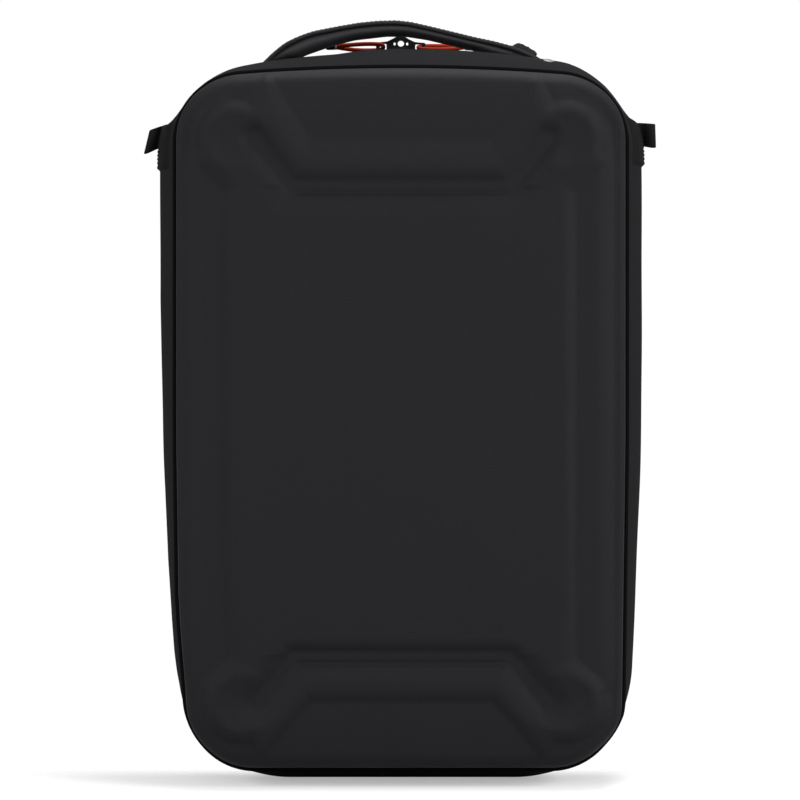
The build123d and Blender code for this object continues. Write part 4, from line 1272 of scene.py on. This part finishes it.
# the folded tab on the right end: two plies turned back and bar-tacked
tab_pts = [(76.5, 505.4), (78.6, 506.8), (81.0, 507.9), (82.6, 507.4), (84.2, 507.3), (86.2, 505.9), (88, 505.3), (90.6, 503.4), (92.6, 502.7), (94.6, 500.2), (93.6, 499.1), (90.6, 499.2), (84, 502.0), (78, 504.1)]
tab = plate("handle_fold_tab_webbing", rounded(tab_pts, 1.2, 4), [], Y_HAN - 10.5, Y_HAN + 10.5, bevel=0.5)
autosmooth(tab, 40)
dress(tab, "webbing", "tub")
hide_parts("handle_fold_tab")
for k, xx in enumerate((82.0, 88.5)):
    pts = np.array([(xx, y, 0) for y in np.linspace(Y_HAN - 9, Y_HAN + 9, 10)])
    pts[:, 2] = 507.6 if k == 0 else 504.9
    st = stitches(f"handle_bartack_{k}", pts, np.tile([0, 0, 1.0], (len(pts), 1)), pitch=1.3, length=1.2, radius=0.45)
    dress(st, "thread", "tub")

# grey button beside the handle's right end
bm = bmesh.new()
bmesh.ops.create_uvsphere(bm, u_segments=32, v_segments=16, radius=1.0)
for v in bm.verts:
    v.co = Vector((v.co.x * 4.6, v.co.y * 4.6, max(v.co.z, -0.1) * 1.5)) * 0.001
me = bpy.data.meshes.new("grey_button"); bm.to_mesh(me); bm.free()
rivet = new_object("top_rivet_cap", me)
ang = math.asin(101.5 / 700.0)
rivet.matrix_world = Matrix.Translation((0.1015, -0.0420, crest(101.5) * 0.001 - 0.0012)) @ Matrix.Rotation(ang, 4, "Y") @ Matrix.Rotation(math.radians(18.5), 4, "X")
shade_smooth(rivet.data)
rivet.data.transform(rivet.matrix_world); rivet.matrix_world = Matrix.Identity(4)
dress(rivet, "grey", "tub")
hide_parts("top_rivet")

# ------------------------------------------------------------------ zip sliders
EYE_Z = 512.6
for s, side in ((-1, "left"), (1, "right")):
    y0, y1 = (Y_ZIP - 2.1, Y_ZIP - 0.4) if s < 0 else (Y_ZIP + 0.4, Y_ZIP + 2.1)
    outer = rounded([(-17.6, 504.0), (-17.6, 513.3), (-9.8, 513.9), (-5.2, 516.2), (-2.6, 517.6), (2.6, 517.6), (5.4, 515.6), (7.2, 513.6), (7.2, 510.4), (4.4, 507.6), (-1.0, 507.3), (-2.8, 504.0)], 1.6, 6)
    holes = [circle(0, EYE_Z, 2.3), circle(-4.45, EYE_Z - 0.2, 0.85, 1.3, 18), circle(4.45, EYE_Z - 0.2, 0.85, 1.3, 18), rounded([(-14.8, 507.6), (-14.8, 512.3), (-10.2, 512.3), (-10.2, 507.6)], 0.8, 4)]
    p = plate(f"lock_plate_{side}", outer, holes, y0, y1, bevel=0.22, flip_x=s > 0)
    parts = [p]
    for lo, hi, r in (((-15.2, Y_ZIP - 4.7, 503.1), (-1.9, Y_ZIP + 4.7, 504.8), 0.75), ((-14.0, Y_ZIP - 4.0, 498.0), (-3.0, Y_ZIP + 4.0, 499.5), 0.6), ((-9.0, Y_ZIP - 0.45, 499.0), (-4.0, Y_ZIP + 0.45, 504.0), 0.2)):
        b = rounded_box("b", lo, hi, r=r, cuts=0, seg=3)
        if s > 0:
            b.data.transform(Matrix.Scale(-1, 4, (1, 0, 0)))
        fix_normals(b)
        parts.append(b)
    o = join(f"slider_{side}_casting", parts)
    autosmooth(o, 40)
    dress(o, "metal", f"zip_slider_{side}")
    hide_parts(f"slider_{side}")

# ------------------------------------------------------------------ back panel
def pad_mesh(name, grow, y_base, y_out, depth_fn, mat, body, node, step=3.2, edge_r=8.0, sign=1):
    """A padded panel over an outline: its outer face at y_out less depth_fn(x, z, distance to edge)."""
    prm = dict(BODY)
    P, N, S = outline(**prm, grow=grow)
    zt = prm["z1"] - prm["crown"] + math.sqrt((prm["crown"] - prm["rt"]) ** 2 - (prm["top_w"] / 2 - prm["rt"]) ** 2)
    right = P[: len(P) // 2 + 1]
    k_end = len(P) // 2 - max(2, 30) + 0
    x_tan, z_tan = right[k_end]
    sel = right[: k_end + 1]
    sel = sel[sel[:, 0] > sel[:, 0].max() * 0.42]
    z_of, x_of = sel[:, 1], sel[:, 0]
    z0 = -grow
    e = edge_r * (1 - np.cos(np.linspace(0, math.pi / 2, 9)))
    zs = np.concatenate([z0 + e, np.arange(z0 + edge_r + step, z_tan - edge_r - step / 2, step), (z_tan - e)[::-1]])
    W = x_of.max()
    us = np.concatenate([1 - e / W, np.arange(1 - (edge_r + step) / W, -(1 - (edge_r + step / 2) / W), -step / W), (-1 + e / W)[::-1]])[::-1]
    w = np.interp(zs, z_of, x_of)
    X = us[:, None] * w[None]
    Z = np.repeat(zs[None], len(us), 0)
    crown = prm["crown"] + grow
    lift = np.sqrt(np.maximum(crown**2 - np.minimum(np.abs(X), x_tan) ** 2, 0)) - math.sqrt(crown**2 - x_tan**2)
    Z = Z + lift * smooth(430, z_tan, Z)
    P2 = np.column_stack([X.ravel(), Z.ravel()])
    A = P[::2]; E = np.roll(A, -1, 0) - A; EL = (E**2).sum(1)
    d = np.full(len(P2), 99.0)
    idx = np.flatnonzero((np.abs(P2[:, 0]) > 110) | (P2[:, 1] < 60) | (P2[:, 1] > 430))
    for c in np.array_split(idx, 12):
        Wv = P2[c][:, None, :] - A[None]
        t = np.clip((Wv * E[None]).sum(2) / EL[None], 0, 1)
        d[c] = np.sqrt(((Wv - E[None] * t[..., None]) ** 2).sum(2)).min(1)
    d = d.reshape(X.shape)
    Y = y_out - depth_fn(X, Z, d)
    front = np.stack([X, Y, Z], -1)
    nu, nv = X.shape
    ring = [(i, 0) for i in range(nu)] + [(nu - 1, j) for j in range(1, nv)] + [(i, nv - 1) for i in range(nu - 2, -1, -1)] + [(0, j) for j in range(nv - 2, 0, -1)]
    ii, jj = np.meshgrid(np.arange(nu - 1), np.arange(nv - 1), indexing="ij")
    F = np.stack([ii * nv + jj, (ii + 1) * nv + jj, (ii + 1) * nv + jj + 1, ii * nv + jj + 1], -1).reshape(-1, 4).tolist()
    prev = np.array([i * nv + j for i, j in ring])
    rp = front.reshape(-1, 3)[prev]
    low = rp.copy(); low[:, 1] = y_base
    cur = np.arange(nu * nv, nu * nv + len(prev))
    F += np.stack([prev, np.roll(prev, -1), np.roll(cur, -1), cur], -1).tolist()
    F.append(cur.tolist())
    V = np.vstack([front.reshape(-1, 3), low])
    me = bpy.data.meshes.new(name)
    me.from_pydata((V * 0.001).tolist(), [], F)
    layer = me.uv_layers.new(name="wrap")
    li = np.zeros(len(me.loops), np.int32); me.loops.foreach_get("vertex_index", li)
    layer.data.foreach_set("uv", (V[li][:, [0, 2]] * 0.001).astype(np.float32).ravel())
    o = fix_normals(new_object(name, me))
    shade_smooth(o.data)
    dress(o, mat, body)
    if node:
        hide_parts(node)
    return o


def back_depth(X, Z, d):
    # two columns of pads beside an air channel, and sewn lines between them
    R = 8.0
    k = np.clip(R - d, 0, R)
    edge = R - np.sqrt(np.maximum(R * R - k * k, 0))
    lines = [np.abs(np.abs(X) - 26) , np.abs(Z - 118), np.abs(Z - 236), np.abs(Z - 354)]
    groove = np.zeros_like(X)
    for i, L in enumerate(lines):
        g = 3.6 * np.exp(-((L / 4.2) ** 2))
        groove = np.maximum(groove, g)
    channel = 3.0 * (1 - smooth(20, 27, np.abs(X)))
    border = 3.0 * np.exp(-(((d - 17) / 3.5) ** 2))
    pads = 0.8 * np.sin(np.pi * np.clip((Z % 118) / 118, 0, 1)) * smooth(28, 50, np.abs(X))
    return np.maximum(np.maximum(groove, channel), np.maximum(border, edge)) - pads + 0.9


back = pad_mesh("back_pad_cloth", -6.0, Y_BOARD + 2.0, Y_BACK, back_depth, "back", "lid", "back_pad")
board = pad_mesh("back_board_cloth", -0.4, Y_BOARD - 0.2, Y_BOARD + 3.4, lambda X, Z, d: 0.6 * np.exp(-d / 3.0), "gusset", "lid", "back_board", step=9.0, edge_r=4.0)
bind = tube_round("back_binding_cord", BP, BN * smooth(0.0, 8.0, BP[:, 1])[:, None] + BN * (1 - smooth(0.0, 8.0, BP[:, 1]))[:, None], Y_BOARD + 3.6, 1.7, -1.9)
fix_normals(bind); shade_smooth(bind.data)
dress(bind, "piping", "lid")
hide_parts("back_binding")

# ------------------------------------------------------------------ inside
for node, name, mat, slot, body, kw in (
    ("foam_floor", "foam_floor_cloth", "foam", "foam", "tub", dict(bevel=2.0, voxel=3.6, wave=0.12)),
    ("foam_wall_top", "foam_wall_top_cloth", "foam", "foam", "tub", dict(bevel=3.0, voxel=3.0, wave=0.25)),
    ("foam_wall_bottom", "foam_wall_bottom_cloth", "foam", "foam", "tub", dict(bevel=3.0, voxel=3.0, wave=0.25)),
    ("foam_wall_left", "foam_wall_left_cloth", "foam", "foam", "tub", dict(bevel=3.0, voxel=3.0, wave=0.25)),
    ("foam_wall_right", "foam_wall_right_cloth", "foam", "foam", "tub", dict(bevel=3.0, voxel=3.0, wave=0.25)),
    ("drone_cradle", "drone_cradle_foam", "foam", "foam", "tub", dict(bevel=2.5, voxel=2.4, wave=0.15)),
    ("divider_shelf", "divider_shelf_cloth", "divider", "divider_fabric", "tub", dict(bevel=2.2, voxel=2.2, wave=0.2)),
    ("divider_upright", "divider_upright_cloth", "divider", "divider_fabric", "tub", dict(bevel=2.2, voxel=2.2, wave=0.2)),
    ("divider_battery", "divider_battery_cloth", "divider", "divider_fabric", "battery_divider", dict(bevel=2.2, voxel=2.2, wave=0.2)),
    ("divider_accessory", "divider_accessory_cloth", "divider", "divider_fabric", "accessory_divider", dict(bevel=2.2, voxel=2.2, wave=0.2)),
    ("lid_foam", "lid_foam_cloth", "lining", "foam", "lid", dict(bevel=2.0, voxel=3.6, wave=0.12)),
):
    o = soften(node, name, **kw)
    if node == "foam_floor":
        tree = KDTree(len(shell_xz))
        for i, (a, b) in enumerate(shell_xz):
            tree.insert((a, b, 0), i)
        tree.balance()
        for v in o.data.vertices:
            near = tree.find((v.co.x * 1000, v.co.z * 1000, 0))[1]
            v.co.y = max(v.co.y, min((shell_y[near] + 5.0) * 0.001, -0.0822))
    dress(o, mat, body)
    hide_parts(node)

# the hold-down strap, its sewn end and the patch it sticks to
o = rounded_box("hold_down_strap_webbing", (-115.4, -38.3, 325.5), (118, -36.3, 350.5), r=0.7, cuts=24, puff=0.0)
dress(o, "strap", "strap"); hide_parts("hold_down_strap")
o = rounded_box("strap_anchor_webbing", (-127.4, -39.9, 320), (-116.2, -36.2, 356), r=1.0, cuts=6)
dress(o, "strap", "tub"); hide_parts("strap_anchor")
o = rounded_box("strap_catch_loop", (84, -39.9, 322), (124, -38.8, 354), r=0.5, cuts=6)
dress(o, "lining", "tub"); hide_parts("strap_catch")

# the zipped pocket inside the back half
PX, PZ0, PZ1, PY0, PY1 = 122.0, 62.0, 312.0, 58.0, 80.2


def pouch(name):
    """A shallow pouch of netting open at its top and back: bulged in front, gathered a little along its lower edge."""
    n, m = 74, 70
    arr = []
    for off in (0.0, 1.1):
        us, vs = np.linspace(-1, 1, n), np.linspace(0, 1, m)
        U, V = np.meshgrid(us, vs, indexing="ij")
        # a flat net wrapped round the front and back along the sides and the bottom
        wu, wv = 0.10, 0.12
        back = np.maximum(smooth(1 - wu, 1.0, np.abs(U)), 1 - smooth(0.0, wv, V))
        x = np.sign(U) * np.minimum(np.abs(U) / (1 - wu * 0.55), 1.0) * (PX - off)
        z = PZ0 + off + np.clip((V - wv * 0.35) / (1 - wv * 0.35), 0, 1) * (PZ1 - PZ0 - off)
        dome = np.clip(1 - np.abs(U) ** 2.6, 0, 1) * np.clip(np.sin(np.pi * np.clip(V * 0.92 + 0.06, 0, 1)), 0, 1)
        pucker = 0.5 * np.sin(U * 41) * (1 - smooth(0.0, 0.35, V)) + 0.35 * np.sin(V * 37) * smooth(0.7, 1.0, np.abs(U))
        y = PY0 + 1.6 + off - 2.4 * dome + pucker * (1 - back) + back * (PY1 - PY0 - 2.6)
        arr.append(np.stack([x, y, z], -1))
    a, b = arr
    ring = [(i, 0) for i in range(n)] + [(n - 1, j) for j in range(1, m)] + [(i, m - 1) for i in range(n - 2, -1, -1)] + [(0, j) for j in range(m - 2, 0, -1)]
    ii, jj = np.meshgrid(np.arange(n - 1), np.arange(m - 1), indexing="ij")
    G = np.stack([ii * m + jj, (ii + 1) * m + jj, (ii + 1) * m + jj + 1, ii * m + jj + 1], -1).reshape(-1, 4)
    e = np.array([i * m + j for i, j in ring])
    sides = np.stack([e, np.roll(e, -1), np.roll(e, -1) + n * m, e + n * m], -1)
    me = bpy.data.meshes.new(name)
    me.from_pydata((np.vstack([a.reshape(-1, 3), b.reshape(-1, 3)]) * 0.001).tolist(), [], G.tolist() + (G[:, ::-1] + n * m).tolist() + sides.tolist())
    o = fix_normals(new_object(name, me))
    autosmooth(o, 50)
    return o


net = pouch("mesh_pocket_net")
dress(net, "net", "lid")
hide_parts("mesh_pocket")
parts = [
    rounded_box("b", (-PX - 4, PY1 - 1.9, PZ0 - 4), (-PX - 0.1, PY1 - 0.1, PZ1), r=0.8, cuts=0),
    rounded_box("b", (PX + 0.1, PY1 - 1.9, PZ0 - 4), (PX + 4, PY1 - 0.1, PZ1), r=0.8, cuts=0),
    rounded_box("b", (-PX - 4, PY1 - 1.9, PZ0 - 4), (PX + 4, PY1 - 0.1, PZ0 - 0.1), r=0.8, cuts=0),
]
o = join("pocket_binding_tape", parts)
autosmooth(o, 40)
dress(o, "piping", "lid"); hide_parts("pocket_binding")
o = rounded_box("pocket_zip_tape_cloth", (-PX, PY0, PZ1 + 0.2), (PX, PY0 + 1.3, PZ1 + 17), r=0.5, cuts=20)
dress(o, "tape", "lid"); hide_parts("pocket_zip_tape")
o = join("pocket_top_band_cloth", [
    rounded_box("b", (-PX, PY0 - 0.2, PZ1 + 17.2), (PX, PY0 + 1.5, PZ1 + 32), r=0.7, cuts=20, puff=0.2),
    rounded_box("b", (-PX, PY0 + 0.6, PZ1 + 30.4), (PX, PY1, PZ1 + 32), r=0.7, cuts=20),
])
autosmooth(o, 50)
dress(o, "lining", "lid"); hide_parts("pocket_top_band")
for yy, zz, tag in ((PY0 - 0.25, PZ1 + 1.9, "a"), (PY0 - 0.25, PZ1 + 15.6, "b"), (PY0 - 0.35, PZ1 + 19.4, "c")):
    pts = np.column_stack([np.linspace(-PX + 3, PX - 3, 60), np.full(60, yy), np.full(60, zz)])
    st = stitches(f"pocket_stitch_{tag}", pts, np.tile([0, -1.0, 0], (60, 1)), pitch=3.2, length=2.4, radius=0.26, lift=0.0)
    dress(st, "thread", "lid")
# its zip: two rows of teeth meshed at the middle
rows_t = []
for k, (za, zb) in enumerate(((PZ1 + 6.6, PZ1 + 8.55), (PZ1 + 8.65, PZ1 + 10.6))):
    xx = np.arange(-PX + 3, PX - 3, 0.42)
    tooth = np.cos(2 * math.pi * xx / 1.7 + math.pi * k)
    arr = np.zeros((len(xx), 8, 3))
    for i in range(8):
        t = 2 * math.pi * i / 8
        r = 0.72 + 0.16 * tooth
        reach = (zb - za) / 2 * (1.0 + 0.18 * tooth * (1 if (math.cos(t) > 0) == (k == 0) else 0))
        arr[:, i] = np.column_stack([xx, PY0 - 0.85 - r * math.sin(t), (za + zb) / 2 + reach * math.cos(t)])
    g = grid_mesh("b", arr, wrap_v=True)
    bm = bmesh.new(); bm.from_mesh(g.data)
    bmesh.ops.holes_fill(bm, edges=[e for e in bm.edges if e.is_boundary], sides=0)
    bm.to_mesh(g.data); bm.free()
    rows_t.append(fix_normals(g))
o = join("pocket_zip_teeth", rows_t)
shade_smooth(o.data)
dress(o, "coil", "lid"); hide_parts("pocket_zip_coil")
o = join("pocket_slider_casting", [fix_normals(rounded_box("b", lo, hi, r=r, cuts=0)) for lo, hi, r in (
    ((-112, PY0 - 4.4, PZ1 + 4.4), (-102, PY0 - 2.0, PZ1 + 12.8), 1.0),
    ((-109, PY0 - 7.4, PZ1 + 10.4), (-105, PY0 - 4.2, PZ1 + 12.4), 0.5),
    ((-109, PY0 - 7.4, PZ1 + 5.0), (-105, PY0 - 6.4, PZ1 + 12.4), 0.35),
)])
autosmooth(o, 40)
dress(o, "metal", "pocket_zip_slider"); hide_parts("pocket_slider")
loop_out = rounded([(-111.5, PZ1 - 2), (-111.5, PZ1 + 9.8), (-102.5, PZ1 + 9.8), (-102.5, PZ1 - 2)], 2.0, 6)
loop_in = rounded([(-109.7, PZ1 + 1.0), (-109.7, PZ1 + 8.6), (-104.3, PZ1 + 8.6), (-104.3, PZ1 + 1.0)], 1.2, 5)
ring_p = plate("pocket_pull_loop", loop_out, [loop_in], PY0 - 5.7, PY0 - 4.9, bevel=0.3)
grip = fix_normals(rounded_box("b", (-110.5, PY0 - 6.5, PZ1 - 18), (-103.5, PY0 - 4.1, PZ1 - 1), r=1.1, cuts=0))
o = join("pocket_pull_moulding", [ring_p, grip])
autosmooth(o, 40)
dress(o, "end", "pocket_zip_pull"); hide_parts("pocket_pull")
# the cloth tape over the inside of the hinge, the zip's end stops and the stiffener under the handle's foot
o = rounded_box("hinge_tape_cloth", (-81, -22, 4.3), (81, 3.5, 5.5), r=0.5, cuts=20)
dress(o, "tape", "tub"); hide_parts("hinge_tape")
for v in [0]:
    stops = []
    for sgn in (-1, 1):
        q = int(np.argmin(np.abs(BP[:, 1] - (ZIP_END_Z - 1.5)) + 1e3 * (BP[:, 0] * sgn < 0)))
        cx, cz, (ax_, az_) = BP[q, 0], BP[q, 1], BN[q]
        b_ = rounded_box("b", (-0.8, -1.3, -1.5), (2.4, 1.3, 1.5), r=0.5, cuts=0)
        ang_ = math.atan2(az_, ax_)
        b_.data.transform(Matrix.Translation((cx * 0.001, (Y_ZIP - 1.7) * 0.001, cz * 0.001)) @ Matrix.Rotation(-ang_, 4, "Y") @ Matrix.Translation((-0.0008, 0, 0)))
        stops.append(fix_normals(b_))
    o = join("zip_end_stops_metal", stops)
    autosmooth(o, 40)
    dress(o, "metal", "tub"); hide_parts("zip_end_stops")
o = rounded_box("base_stiffener_board", (-90, -33, 6.0), (90, -9, 8.5), r=0.8, cuts=0)
dress(o, "board", "tub"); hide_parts("base_stiffener")

# ------------------------------------------------------------------ stage
def stage_mesh(name, verts, faces):
    me = bpy.data.meshes.new(name)
    me.from_pydata(verts, [], faces)
    return new_object(name, me)


# a white floor that fades out behind the case into a white surround
floor = stage_mesh("floor", [(-5, -5, -0.0004), (5, -5, -0.0004), (5, 0.6, -0.0004), (-5, 0.6, -0.0004)], [(0, 1, 2, 3)])
fm = bpy.data.materials.new("floor_white")
nt, bs = nodes_of(fm)
bs.inputs["Base Color"].default_value = (FLOOR_ALBEDO, FLOOR_ALBEDO, FLOOR_ALBEDO, 1)
bs.inputs["Roughness"].default_value = 0.9
bs.inputs["Specular IOR Level"].default_value = 0.0
bs.inputs["Emission Color"].default_value = (1, 1, 1, 1)
seen = nt.nodes.new("ShaderNodeLightPath").outputs["Is Camera Ray"]
nt.links.new(math_node(nt, "MULTIPLY", seen, FLOOR_LIFT), bs.inputs["Emission Strength"])
sep = nt.nodes.new("ShaderNodeSeparateXYZ")
nt.links.new(coords(nt, "obj"), sep.inputs[0])
fade = nt.nodes.new("ShaderNodeMapRange")
fade.interpolation_type = "SMOOTHSTEP"
nt.links.new(sep.outputs["Y"], fade.inputs["Value"])
fade.inputs["From Min"].default_value, fade.inputs["From Max"].default_value = -0.035, 0.008
fade.inputs["To Min"].default_value, fade.inputs["To Max"].default_value = 1.0, 0.0
nt.links.new(fade.outputs["Result"], bs.inputs["Alpha"])
floor.data.materials.append(fm)

world = bpy.data.worlds.new("studio")
bpy.context.scene.world = world
world.use_nodes = True
wt = world.node_tree
bg = wt.nodes["Background"]
bg.inputs[0].default_value = (1, 1, 1, 1)
seen = wt.nodes.new("ShaderNodeLightPath").outputs["Is Camera Ray"]
wt.links.new(math_node(wt, "MULTIPLY_ADD", seen, 1.02 - WORLD, WORLD), bg.inputs[1])


def area(name, loc, target, size, power, size_y=None):
    li = bpy.data.lights.new(name, "AREA")
    li.energy = power
    li.shape = "RECTANGLE"
    li.size = size
    li.size_y = size_y or size
    o = bpy.data.objects.new(name, li)
    bpy.context.scene.collection.objects.link(o)
    o.location = loc
    d = Vector(target) - Vector(loc)
    o.rotation_euler = d.to_track_quat("-Z", "Y").to_euler()
    return o


area("key_top", (0.25, 0.10, 2.1), (0, -0.02, 0.3), 1.4, 28, 0.7)
area("front", (0.3, -3.0, 1.3), (0, -0.1, 0.3), 1.6, 16, 1.0)
area("right", (2.1, -1.1, 1.1), (0, -0.05, 0.3), 0.9, 47, 1.2)
area("left", (-1.9, -1.5, 1.1), (0, -0.05, 0.25), 1.0, 35, 1.2)
scene = bpy.context.scene
scene.view_settings.view_transform = "Standard"
scene.view_settings.exposure = 0.0
